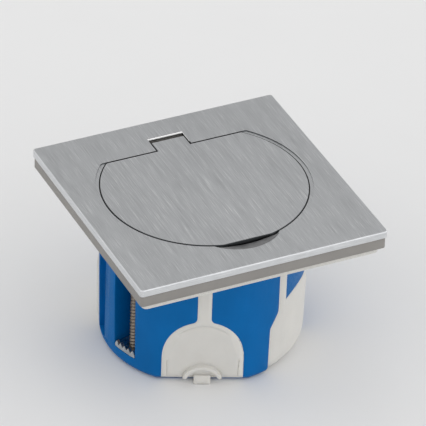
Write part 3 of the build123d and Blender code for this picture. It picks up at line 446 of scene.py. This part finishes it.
def turned_brass(colours):
    """Turned and sawn contact brass, not plated."""
    # Turning marks give faint rings, and handling a browner tone in patches.
    material, tree = blank_material("turned brass")
    rings = noise(tree, (3.0, 3.0, 0.18), 2.0)
    tarnish = noise(tree, (4.0, 4.0, 4.0), 3.0)
    close_material(
        tree,
        {"Metallic": 1.0},
        {
            "Base Color": tints(tree, tarnish, colours.brass, 0.72, 1.06),
            "Roughness": spread(tree, rings, 0.2, 0.36),
            "Normal": bump(tree, rings, 0.01, 0.5),
        },
    )
    return material


def moulded_plastic(
    name, base, gloss, grain, depth, tone=(0.93, 1.05), scatter=0.0, shine=0.5
):
    """Moulded plastic: gloss is its roughness range, grain the mould's texture in millimetres."""
    # Melt flow gives broad soft shifts of tone, and the eroded mould a fine even grain.
    material, tree = blank_material(name)
    flow = noise(tree, (9.0, 9.0, 14.0), 3.0)
    texture = noise(tree, (grain, grain, grain), 2.0, 0.6)
    settings = {"IOR": 1.5, "Specular IOR Level": shine}
    if scatter:
        settings["Subsurface Weight"] = scatter
        settings["Subsurface Radius"] = (1.0, 0.9, 0.7)
        settings["Subsurface Scale"] = 1.2 * MM
    close_material(
        tree,
        settings,
        {
            "Base Color": tints(tree, flow, base, *tone),
            "Roughness": spread(tree, texture, *gloss),
            "Normal": bump(tree, texture, depth, 0.6),
        },
    )
    return material


def closed_cell_foam(colours):
    """Die-cut polyethylene foam."""
    # Small closed cells give a matt, finely pitted face.
    material, tree = blank_material("closed-cell polyethylene foam")
    cells = add_node(
        tree,
        "ShaderNodeTexVoronoi",
        {"Scale": 1.0},
        {"Vector": pattern_space(tree, (0.5, 0.5, 0.5))},
    ).outputs["Distance"]
    close_material(
        tree,
        {"IOR": 1.45, "Roughness": 0.85},
        {
            "Base Color": tints(tree, cells, colours.foam, 0.94, 1.04),
            "Normal": bump(tree, cells, 0.06, 0.7),
        },
    )
    return material


def moulded_rubber(colours):
    """EPDM rubber ring."""
    # A matt black with a faint bloom.
    material, tree = blank_material("moulded EPDM rubber")
    bloom = noise(tree, (1.2, 1.2, 1.2), 3.0)
    close_material(
        tree,
        {"IOR": 1.52},
        {
            "Base Color": tints(tree, bloom, colours.rubber, 0.8, 1.5),
            "Roughness": spread(tree, bloom, 0.55, 0.8),
            "Normal": bump(tree, bloom, 0.02, 0.4),
        },
    )
    return material


def studio_paper(colours):
    """Matt seamless background paper."""
    # Paper fibre is too fine to show: only a very faint unevenness is left.
    material, tree = blank_material("seamless background paper")
    fibre = noise(tree, (30.0, 30.0, 30.0), 4.0)
    close_material(
        tree,
        {"Roughness": 0.9, "Specular IOR Level": 0.1},
        {"Base Color": tints(tree, fibre, colours.floor, 0.995, 1.003)},
    )
    return material


FINISHES = {
    "steel_cover": brushed_stainless_steel,
    "steel_plain": zinc_plated_steel,
    "spring_steel": spring_steel,
    "brass": turned_brass,
    "taupe_plastic": lambda c: moulded_plastic(
        "moulded ABS, taupe", c.taupe, (0.42, 0.58), 0.45, 0.03
    ),
    "pale_foam": closed_cell_foam,
    "dark_plastic": lambda c: moulded_plastic(
        "moulded polyamide, black", c.black, (0.35, 0.5), 0.4, 0.02, (0.8, 1.3)
    ),
    "grey_plastic": lambda c: moulded_plastic(
        "moulded polycarbonate, grey", c.grey, (0.3, 0.45), 0.4, 0.015
    ),
    "blue_plastic": lambda c: moulded_plastic(
        "moulded polypropylene, blue",
        c.blue,
        (0.38, 0.52),
        0.5,
        0.03,
        (0.93, 1.06),
        shine=0.1,
    ),
    "ivory_soft": lambda c: moulded_plastic(
        "moulded thermoplastic elastomer",
        c.ivory,
        (0.5, 0.66),
        0.6,
        0.03,
        (0.95, 1.03),
        scatter=0.15,
    ),
    "black_rubber": moulded_rubber,
}
made_finishes = {}


def finish(slot):
    """Material for a slot of the record, made when it is first asked for."""
    if slot not in made_finishes:
        made_finishes[slot] = FINISHES[slot](bpy.context.scene.worktop_socket_colours)
    return made_finishes[slot]


# Slot of each node, read before the nodes get their finishes
SLOT_OF = {
    node: thing.material_slots[0].material.name for node, thing in frame["nodes"].items()
}


def dress(*nodes):
    """Gives CAD nodes their finish."""
    for node in nodes:
        for place in frame["nodes"][node].material_slots:
            place.material = finish(place.material.name)


# Surfaces and pieces

# Corners nearer than this are one corner, in the CAD meshes and in the computed surfaces
CAD_MERGE = 2e-6
SURFACE_MERGE = 1e-7
# Faces that turn by less than the first of these are joined, and edges that turn by more than the
# second are sharp; the third is the turn from which a swollen soft face has its edges rounded
FLAT_TURN = radians(0.4)
SHARP_TURN = radians(32.0)
SWOLLEN_TURN = radians(40.0)


def patch(points, closed_u=False, closed_v=False):
    """Corners and quads of a grid of points, with its last line joined to its first if closed."""
    index = np.arange(points.shape[0] * points.shape[1]).reshape(points.shape[:2])
    if closed_u:
        index = np.vstack([index, index[:1]])
    if closed_v:
        index = np.hstack([index, index[:, :1]])
    quads = np.stack([index[:-1, :-1], index[1:, :-1], index[1:, 1:], index[:-1, 1:]], -1)
    return points.reshape(-1, 3), quads.reshape(-1, 4)


def join(patches):
    """One mesh of several patches, whose seams and poles are closed when it is settled."""
    corners, quads, base = [], [], 0
    for points, faces in patches:
        corners.append(points)
        quads.append(faces + base)
        base += len(points)
    mesh = bpy.data.meshes.new("surface")
    mesh.from_pydata(
        np.concatenate(corners).tolist(), [], np.concatenate(quads).tolist()
    )
    return mesh


def settle(mesh):
    """Merges doubles and turns all faces outwards."""
    form = bmesh.new()
    form.from_mesh(mesh)
    bmesh.ops.remove_doubles(form, verts=form.verts, dist=SURFACE_MERGE)
    bmesh.ops.recalc_face_normals(form, faces=form.faces)
    form.to_mesh(mesh)
    form.free()


def add_piece(name, mesh, node, smooth, finished):
    """Puts a mesh in the scene on the body of a CAD node, with the given finish."""
    mesh.name = name
    mesh.shade_smooth()
    mesh.set_sharp_from_angle(angle=radians(smooth))
    mesh.materials.clear()
    mesh.materials.append(finished)
    piece = bpy.data.objects.new(name, mesh)
    bpy.context.scene.collection.objects.link(piece)
    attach(piece, frame["nodes"][node]["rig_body"])
    return piece


def place_piece(name, mesh, node, smooth=35.0):
    """Puts a mesh in the scene in place of a CAD node, with that node's finish."""
    piece = add_piece(name, mesh, node, smooth, finish(SLOT_OF[node]))
    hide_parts(node)
    return piece


def add_trim(name, surface, node, make):
    """Adds a small computed piece beside a CAD node, with a finish of its own."""
    mesh = join([surface])
    settle(mesh)
    add_piece(name, mesh, node, 50.0, make(bpy.context.scene.worktop_socket_colours))


def merged_copy(node):
    """Copy of a CAD node's mesh as a bmesh, with doubles merged and flat faces joined."""
    form = bmesh.new()
    form.from_mesh(frame["nodes"][node].data)
    bmesh.ops.remove_doubles(form, verts=form.verts, dist=CAD_MERGE)
    bmesh.ops.dissolve_limit(
        form, angle_limit=FLAT_TURN, verts=form.verts, edges=form.edges
    )
    return form


def place_rounded(form, node, width, angle):
    """Places a bmesh in place of a CAD node and rounds its sharp edges with a live bevel."""
    mesh = bpy.data.meshes.new(node)
    form.to_mesh(mesh)
    form.free()
    piece = place_piece(f"{node}_finished", mesh, node, 180.0)
    rounding = piece.modifiers.new("edge rounding", "BEVEL")
    rounding.width = width
    rounding.segments = 2
    rounding.limit_method = "ANGLE"
    rounding.angle_limit = angle
    rounding.harden_normals = True
    rounding.use_clamp_overlap = True


def soften(node, width):
    """Copy of a CAD node whose sharp edges are rounded, as a mould leaves them."""
    place_rounded(merged_copy(node), node, width, SHARP_TURN)


# Soft faces: most rounds of splitting, longest edge left, and steps along the sharp edges
SPLIT_ROUNDS = 7
SOFT_CELL = 0.7 * MM
SPOT_STEP = 0.3 * MM
# Parts of the normal along the way out between which a soft face starts and is fully swollen
SWELL_FACING = (0.2, 0.8)


def sharp_spots(form):
    """Tree of points set along a bmesh's sharp edges, for finding the nearest one."""
    spots = []
    for edge in form.edges:
        if edge.calc_face_angle(0.0) > SHARP_TURN:
            start, end = (v.co for v in edge.verts)
            steps = max(2, int((end - start).length / SPOT_STEP))
            spots += [start.lerp(end, i / steps) for i in range(steps + 1)]
    tree = KDTree(len(spots))
    for i, spot in enumerate(spots):
        tree.insert(spot, i)
    tree.balance()
    return tree


def swell(node, axis_y, rise, run, width):
    """Copy of a soft node whose outer face swells out from the axis between its sharp edges.

    At distance s from the nearest sharp edge it stands out by rise times 1 - (1 - s / run)^2.
    """
    form = merged_copy(node)
    tree = sharp_spots(form)
    for _ in range(SPLIT_ROUNDS):
        bmesh.ops.triangulate(form, faces=form.faces)
        long = [e for e in form.edges if e.calc_length() > SOFT_CELL]
        if not long:
            break
        bmesh.ops.subdivide_edges(form, edges=long, cuts=1)
    bmesh.ops.triangulate(form, faces=form.faces)
    form.normal_update()
    starts, full = SWELL_FACING
    shifts = []
    for v in form.verts:
        out = Vector((v.co.x, v.co.y - axis_y, 0.0)).normalized()
        outside = min(max(v.normal.dot(out) - starts, 0.0) / (full - starts), 1.0)
        near = min(tree.find(v.co)[2] / run, 1.0)
        shifts.append(out * (rise * outside * (1 - (1 - near) ** 2)))
    for v, shift in zip(form.verts, shifts):
        v.co += shift
    place_rounded(form, node, width, SWOLLEN_TURN)


def bar(start, end, radius, columns=16):
    """Round bar between two points of one height: a circle across the line at each end."""
    path = np.array([start, end])
    way = path[1] - path[0]
    way /= np.linalg.norm(way)
    u = np.linspace(0, TURN, columns, endpoint=False)[:, None]
    aside, up = np.array([-way[1], way[0], 0.0]), np.array([0.0, 0.0, 1.0])
    ring = aside * np.cos(u) + up * np.sin(u)
    rings = path[:, None] + radius * ring[None]
    ends = [np.repeat(path[i][None, None], columns, 1) for i in (0, -1)]
    return patch(np.concatenate([ends[0], rings, ends[1]]), closed_v=True)


# Finger scoop in the cover: its middle, its radius and the line in front of the lid
SCOOP_Y = -19.4 * MM
SCOOP_R = 15.35 * MM
SCOOP_CHORD_Y = -30.2 * MM
# Its dish: step down at the arc, further fall to the chord, and thickness
SCOOP_RIM_DROP = 0.2 * MM
SCOOP_FALL = 1.3 * MM
SCOOP_SHEET = 0.25 * MM


def scoop_dish(top, columns=48, rows=10):
    """Thin dish in front of a chord of a circle: its depth grows evenly from arc to chord."""
    ahead = SCOOP_Y - SCOOP_CHORD_Y
    widest = np.arccos(ahead / SCOOP_R) - radians(1.0)
    u = np.linspace(-widest, widest, columns)[:, None]
    v = np.linspace(0, 1, rows)[None]
    reach = SCOOP_R + (ahead / np.cos(u) - SCOOP_R) * v
    x, y = reach * np.sin(u), SCOOP_Y - reach * np.cos(u)
    z = top - SCOOP_RIM_DROP - SCOOP_FALL * (SCOOP_R - reach) / (SCOOP_R - ahead)
    upper = np.stack([x, y, z], -1)
    lower = upper[:, ::-1] - np.array([0.0, 0.0, SCOOP_SHEET])
    loops = np.concatenate([upper, lower], 1)
    ends = [np.repeat(loops[i].mean(0)[None, None], loops.shape[1], 1) for i in (0, -1)]
    return patch(np.concatenate([ends[0], loops, ends[1]]), closed_v=True)


# Threads: rows per turn, depth as a share of the pitch, and the tip's length and share of radius
THREAD_ROWS = 10
THREAD_DEPTH = 0.3
TIP_LENGTH = 0.6 * MM
TIP_SHARE = 0.75


def threaded_shank(spot, low, high, radius, pitch, columns=28):
    """Threaded rod with a tapered tip.

    At angle u and height v its radius is the outer radius less a wave of v / pitch - u / turn.
    """
    rows = int((high - low) / pitch * THREAD_ROWS)
    u = np.linspace(0, TURN, columns, endpoint=False)[:, None]
    v = np.linspace(low, high, rows)[None]
    wave = np.abs(((v / pitch - u / TURN) % 1.0) * 2 - 1)
    taper = np.clip((v - low) / TIP_LENGTH, 0, 1)
    reach = (radius - THREAD_DEPTH * pitch * wave) * (TIP_SHARE + (1 - TIP_SHARE) * taper)
    reach = np.concatenate([np.zeros_like(u), reach, np.zeros_like(u)], 1)
    height = np.concatenate([v[:, :1], v, v[:, -1:]], 1) + 0 * u
    points = np.stack(
        [spot[0] + reach * np.cos(u), spot[1] + reach * np.sin(u), height], -1
    )
    return patch(points, closed_u=True)


# Screw heads: lines on each side of the slot, fall of the dome as a share of the head's height,
# depth of the slot, and how far the shank reaches into the head
HEAD_LINES = 9
HEAD_DOME = 0.22
SLOT_DEPTH = 0.7 * MM
SHANK_IN_HEAD = 0.3 * MM


def slotted_head(spot, seat, radius, height, slot_width):
    """Screw head: its height falls with the fourth power of the distance, less the slot."""
    half = slot_width / 2
    inner = np.linspace(half, radius, HEAD_LINES)
    lines = np.concatenate([-inner[::-1], [-half, half], inner])
    sunk = np.zeros(len(lines), bool)
    sunk[HEAD_LINES : HEAD_LINES + 2] = True
    t = np.linspace(-1, 1, 2 * HEAD_LINES + 1)
    across = lines[:, None] + 0 * t
    along = np.sqrt(np.maximum(radius**2 - lines**2, 0))[:, None] * t
    far = (across**2 + along**2) / radius**2
    top = height * (1 - HEAD_DOME * far**2)
    top = np.where(sunk[:, None], height - SLOT_DEPTH, top)
    cap = np.stack([spot[0] + along, spot[1] + across, seat + top], -1)
    rim = np.concatenate([cap[:, 0], cap[::-1, -1]])
    foot = rim.copy()
    foot[:, 2] = seat
    pole = foot * 0 + np.array([spot[0], spot[1], seat])
    side = np.stack([rim, foot, pole], 1)
    return [patch(cap), patch(side, closed_u=True)]


def make_screw(node, head_height, shank_radius, pitch):
    """Slotted screw with a thread, as wide and as long as the CAD node that it replaces."""
    sizes = bpy.context.scene.worktop_socket_sizes
    low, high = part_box(node)
    spot = ((low[0] + high[0]) / 2, (low[1] + high[1]) / 2)
    seat = high[2] - head_height
    patches = slotted_head(
        spot, seat, (high[0] - low[0]) / 2, head_height, sizes.slot_width
    )
    patches.append(
        threaded_shank(spot, low[2], seat + SHANK_IN_HEAD, shank_radius, pitch)
    )
    mesh = join(patches)
    settle(mesh)
    return place_piece(f"{node}_threaded", mesh, node)


# Operators, each after the sizes and functions that it needs

# Hinge notch in the cover: half its width, and where its right edge starts and ends
NOTCH_HALF = 6.25 * MM
NOTCH_START_Y = 28.0 * MM
NOTCH_END_Y = 33.7 * MM
# Notch edges with a painted highlight: share of the radius that lies inside the sheet, and the
# right one's size
EDGE_SUNK = 0.55
RIGHT_EDGE_SHARE = 0.6


class SOCKET_OT_cover(bpy.types.Operator):
    """Brushes the cover and the lid, and dresses the hinge between them"""

    bl_idname = "worktop_socket.cover"
    bl_label = "Cover, Lid and Hinge"

    def execute(self, context):
        dress("cover_plate", "lid", "hinge_pin", "hinge_spring")
        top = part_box("cover_plate")[1][2]
        # The notch's back and right edges are thin bars coloured as a painted highlight
        back = context.scene.worktop_socket_sizes.burr
        y, z = NOTCH_END_Y + EDGE_SUNK * back, top - back
        surface = bar((-NOTCH_HALF, y, z), (NOTCH_HALF, y, z), back)
        add_trim("notch_back_edge", surface, "cover_plate", painted_highlight_edge_steel)
        right = back * RIGHT_EDGE_SHARE
        x, z = NOTCH_HALF + EDGE_SUNK * right, top - right
        surface = bar((x, NOTCH_END_Y, z), (x, NOTCH_START_Y, z), right)
        add_trim("notch_right_edge", surface, "cover_plate", painted_highlight_edge_steel)
        add_trim("scoop_dish", scoop_dish(top), "cover_plate", pressed_steel)
        return {"FINISHED"}


# Gasket: corner radius, and its bore around the lid's axis
GASKET_CORNER_R = 1.5 * MM
GASKET_BORE_R = 36.6 * MM
GASKET_BORE_Y = 2.9 * MM


def rounded_square(half, corner, steps=12):
    """Outline of a square with quarter circles at its corners, as points in order around it."""
    turn = np.linspace(0, pi / 2, steps)
    corners = []
    for quarter, (sx, sy) in enumerate(((1, 1), (-1, 1), (-1, -1), (1, -1))):
        angle = turn + quarter * pi / 2
        centre = np.array([sx, sy]) * (half - corner)
        corners.append(centre + corner * np.stack([np.cos(angle), np.sin(angle)], -1))
    return np.concatenate(corners)


class SOCKET_OT_frame(bpy.types.Operator):
    """Rounds the moulded frame and cuts the gasket from foam"""

    bl_idname = "worktop_socket.frame"
    bl_label = "Frame and Gasket"

    def execute(self, context):
        sizes = context.scene.worktop_socket_sizes
        soften("under_frame", sizes.plastic_edge)
        low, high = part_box("gasket")
        edge = sizes.foam_edge
        outside = rounded_square(high[0], GASKET_CORNER_R)
        angle = np.arctan2(outside[:, 1] - GASKET_BORE_Y, outside[:, 0])
        inside = GASKET_BORE_R * np.stack([np.cos(angle), np.sin(angle)], -1)
        inside[:, 1] += GASKET_BORE_Y
        turn = np.linspace(0, pi / 2, 5)
        reach = edge - edge * np.sin(turn)
        rise = edge - edge * np.cos(turn)
        inwards = np.concatenate([reach, reach[::-1]])
        height = np.concatenate([low[2] + rise, (high[2] - rise)[::-1]])
        normal = outside / np.abs(outside).max(1, keepdims=True)
        rim = outside[:, None] - normal[:, None] * inwards[None, :, None]
        wall = np.concatenate(
            [rim, np.broadcast_to(height[None, :, None], rim.shape[:2] + (1,))], -1
        )
        bore = np.stack(
            [
                np.concatenate([inside, np.full((len(inside), 1), high[2])], -1),
                np.concatenate([inside, np.full((len(inside), 1), low[2])], -1),
            ],
            1,
        )
        mesh = join([patch(np.concatenate([wall, bore], 1), True, True)])
        settle(mesh)
        place_piece("gasket_foam", mesh, "gasket")
        return {"FINISHED"}


class SOCKET_OT_box(bpy.types.Operator):
    """Rounds the moulded edges of the round box"""

    bl_idname = "worktop_socket.box"
    bl_label = "Round Box"

    def execute(self, context):
        soften("box_shell", context.scene.worktop_socket_sizes.plastic_edge)
        return {"FINISHED"}


class SOCKET_OT_membranes(bpy.types.Operator):
    """Softens the four pierceable membranes"""

    bl_idname = "worktop_socket.membranes"
    bl_label = "Membranes"

    def execute(self, context):
        sizes = context.scene.worktop_socket_sizes
        low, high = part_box("box_shell")
        axis_y = (low[1] + high[1]) / 2
        for sides, rise, run in (
            (("front", "back"), sizes.dome_rise, sizes.dome_run),
            (("right", "left"), sizes.membrane_rise, sizes.membrane_run),
        ):
            for side in sides:
                swell(f"membrane_{side}", axis_y, rise, run, sizes.membrane_edge)
        return {"FINISHED"}


# Claw screws: height of the head and radius of the shank
CLAW_HEAD_HEIGHT = 1.3 * MM
CLAW_SHANK_R = 1.7 * MM


class SOCKET_OT_claws(bpy.types.Operator):
    """Plates the claws and nuts, and cuts the threads of their long screws"""

    bl_idname = "worktop_socket.claws"
    bl_label = "Claws"

    def execute(self, context):
        sizes = context.scene.worktop_socket_sizes
        for side in ("left", "right"):
            dress(f"claw_{side}", f"claw_nut_{side}")
            screw = make_screw(
                f"claw_screw_{side}", CLAW_HEAD_HEIGHT, CLAW_SHANK_R, sizes.claw_pitch
            )
            # The claw screws' threads are darkened partly as painted shade of their channel
            screw.data.materials[0] = phosphated_shaded_steel(context.scene.worktop_socket_colours)
        return {"FINISHED"}


class SOCKET_OT_socket(bpy.types.Operator):
    """Dresses the chassis, the well, the shutter, the contact block, the contacts and the liner"""

    bl_idname = "worktop_socket.socket"
    bl_label = "Socket and Liner"

    def execute(self, context):
        dress(
            "lid_liner",
            "lid_seal",
            "lid_screws",
            "frame_screws",
            "chassis",
            "device_screws",
            "socket_well",
            "shutter",
            "shutter_spring",
            "contact_block",
            "block_screws",
            "line_contact",
            "neutral_contact",
            "earth_pin",
            "earth_terminal",
            "terminal_screws",
        )
        return {"FINISHED"}


# Half side of the floor, in metres
FLOOR_HALF = 3.0
# Soft boxes: name, place, aim, side in metres and power
SOFT_BOXES = (("overhead soft box", (0.05, 0.5, 1.0), (0.0, 0.0, 0.03), 0.4, 0.5),)
# Heights of the direction (its z) at which the studio's greys are given
WORLD_HEIGHTS = (0.15, 0.45, 0.72, 0.95)
# Front, back, right and left of the studio seen from the camera, as x and y of their directions
WORLD_SIDES = ((-0.44, -0.9), (0.44, 0.9), (0.9, -0.44), (-0.9, 0.44))
# Greys of these sides at the first three heights, and the grey overhead
WORLD_GREYS = (
    (0.74, 1.16, 1.25),
    (0.4, 0.44, 0.4),
    (1.32, 2.12, 1.69),
    (0.5, 1.51, 1.7),
)
WORLD_TOP = 1.16


def ramp_of(tree, value, greys, peak):
    """Grey that goes through greys divided by peak as value passes the studio's heights."""
    ramp = add_node(tree, "ShaderNodeValToRGB", None, {0: value})
    stops = ramp.color_ramp.elements
    for height in WORLD_HEIGHTS[1:-1]:
        stops.new(height)
    for stop, height, grey in zip(stops, WORLD_HEIGHTS, greys):
        stop.position = height
        stop.color = (grey / peak, grey / peak, grey / peak, 1.0)
    return ramp.outputs["Color"]


def studio_world(greys, top):
    """World of greys by height for each side, faded by the angle to it, and one overhead."""
    world = bpy.data.worlds.new("soft studio")
    world.use_nodes = True
    tree = world.node_tree
    tree.nodes.clear()
    way = add_node(tree, "ShaderNodeTexCoord").outputs["Generated"]
    rise = add_node(tree, "ShaderNodeSeparateXYZ", None, {0: way}).outputs["Z"]
    peak = max(max(max(row) for row in greys), top, 1e-6)
    total = ramp_of(tree, rise, (0.0, 0.0, 0.0, top), peak)
    for side, row in zip(WORLD_SIDES, greys):
        facing = add_node(
            tree,
            "ShaderNodeVectorMath",
            {"operation": "DOT_PRODUCT", 1: (*side, 0.0)},
            {0: way},
        ).outputs["Value"]
        shade = ramp_of(tree, rise, (*row, 0.0), peak)
        faded = maths(tree, "MULTIPLY", shade, spread(tree, facing, 0.0, 1.0, 0.0, 1.0))
        total = maths(tree, "ADD", total, faded)
    power = maths(tree, "MULTIPLY", total, peak)
    light = add_node(tree, "ShaderNodeBackground", None, {"Strength": power})
    add_node(tree, "ShaderNodeOutputWorld", None, {"Surface": light.outputs[0]})
    return world


class SOCKET_OT_stage(bpy.types.Operator):
    """Lays the floor, sets soft studio light and aims the camera as in the photograph"""

    bl_idname = "worktop_socket.stage"
    bl_label = "Floor, Light and Camera"

    def execute(self, context):
        scene = context.scene
        scene.view_settings.view_transform = "Standard"
        side = np.linspace(-FLOOR_HALF, FLOOR_HALF, 3)
        x, y = np.meshgrid(side, side, indexing="ij")
        mesh = join([patch(np.stack([x, y, 0 * x], -1))])
        mesh.name = "floor"
        mesh.materials.append(studio_paper(scene.worktop_socket_colours))
        floor = bpy.data.objects.new("floor", mesh)
        scene.collection.objects.link(floor)

        scene.world = studio_world(WORLD_GREYS, WORLD_TOP)
        for name, place, aim, size, watts in SOFT_BOXES:
            lamp = bpy.data.lights.new(name, "AREA")
            lamp.shape = "SQUARE"
            lamp.size = size
            lamp.energy = watts
            thing = bpy.data.objects.new(name, lamp)
            thing.location = place
            thing.rotation_mode = "QUATERNION"
            direction = Vector(aim) - Vector(place)
            thing.rotation_quaternion = direction.to_track_quat("-Z", "Y")
            scene.collection.objects.link(thing)

        a, e, r = CAMERA_AZIMUTH, CAMERA_ELEVATION, CAMERA_ROLL
        back = Vector((sin(a) * cos(e), -cos(a) * cos(e), sin(e)))
        right = Vector((cos(a), sin(a), 0.0))
        up = back.cross(right)
        right, up = right * cos(r) + up * sin(r), up * cos(r) - right * sin(r)
        lens = bpy.data.cameras.new("camera")
        lens.sensor_width = SENSOR
        lens.lens = FOCAL_PIXELS / PICTURE_SIDE * SENSOR
        lens.clip_start, lens.clip_end = CAMERA_REACH
        camera = bpy.data.objects.new("camera", lens)
        centre = Vector(CAMERA_AIM) + back * CAMERA_DISTANCE
        camera.matrix_world = Matrix.Translation(
            centre + right * CAMERA_ASIDE + up * CAMERA_UP
        ) @ Matrix((right, up, back)).transposed().to_4x4()
        scene.collection.objects.link(camera)
        scene.camera = camera
        return {"FINISHED"}


OPERATORS = (
    SOCKET_OT_stage,
    SOCKET_OT_cover,
    SOCKET_OT_frame,
    SOCKET_OT_box,
    SOCKET_OT_membranes,
    SOCKET_OT_claws,
    SOCKET_OT_socket,
)


class SOCKET_PT_panel(bpy.types.Panel):
    """Lists the socket's pieces, sizes and colours"""

    bl_idname = "SOCKET_PT_panel"
    bl_label = "Worktop Socket"
    bl_space_type = "VIEW_3D"
    bl_region_type = "UI"
    bl_category = "Worktop Socket"

    def draw(self, context):
        for operator in OPERATORS:
            self.layout.operator(operator.bl_idname)
        for group in (
            context.scene.worktop_socket_sizes,
            context.scene.worktop_socket_colours,
        ):
            for name in group.__annotations__:
                self.layout.prop(group, name)


CLASSES = (WorktopSocketColours, WorktopSocketSizes, *OPERATORS, SOCKET_PT_panel)


def register():
    """Registers the classes and hangs the property groups on the scene."""
    for kind in CLASSES:
        bpy.utils.register_class(kind)
    bpy.types.Scene.worktop_socket_colours = bpy.props.PointerProperty(
        type=WorktopSocketColours
    )
    bpy.types.Scene.worktop_socket_sizes = bpy.props.PointerProperty(type=WorktopSocketSizes)


def unregister():
    """Takes the property groups and the classes away again."""
    del bpy.types.Scene.worktop_socket_sizes
    del bpy.types.Scene.worktop_socket_colours
    for kind in reversed(CLASSES):
        bpy.utils.unregister_class(kind)


def main():
    """Makes every piece."""
    register()
    bpy.ops.worktop_socket.stage()
    bpy.ops.worktop_socket.cover()
    bpy.ops.worktop_socket.frame()
    bpy.ops.worktop_socket.box()
    bpy.ops.worktop_socket.membranes()
    bpy.ops.worktop_socket.claws()
    bpy.ops.worktop_socket.socket()


if __name__ == "__main__":
    main()
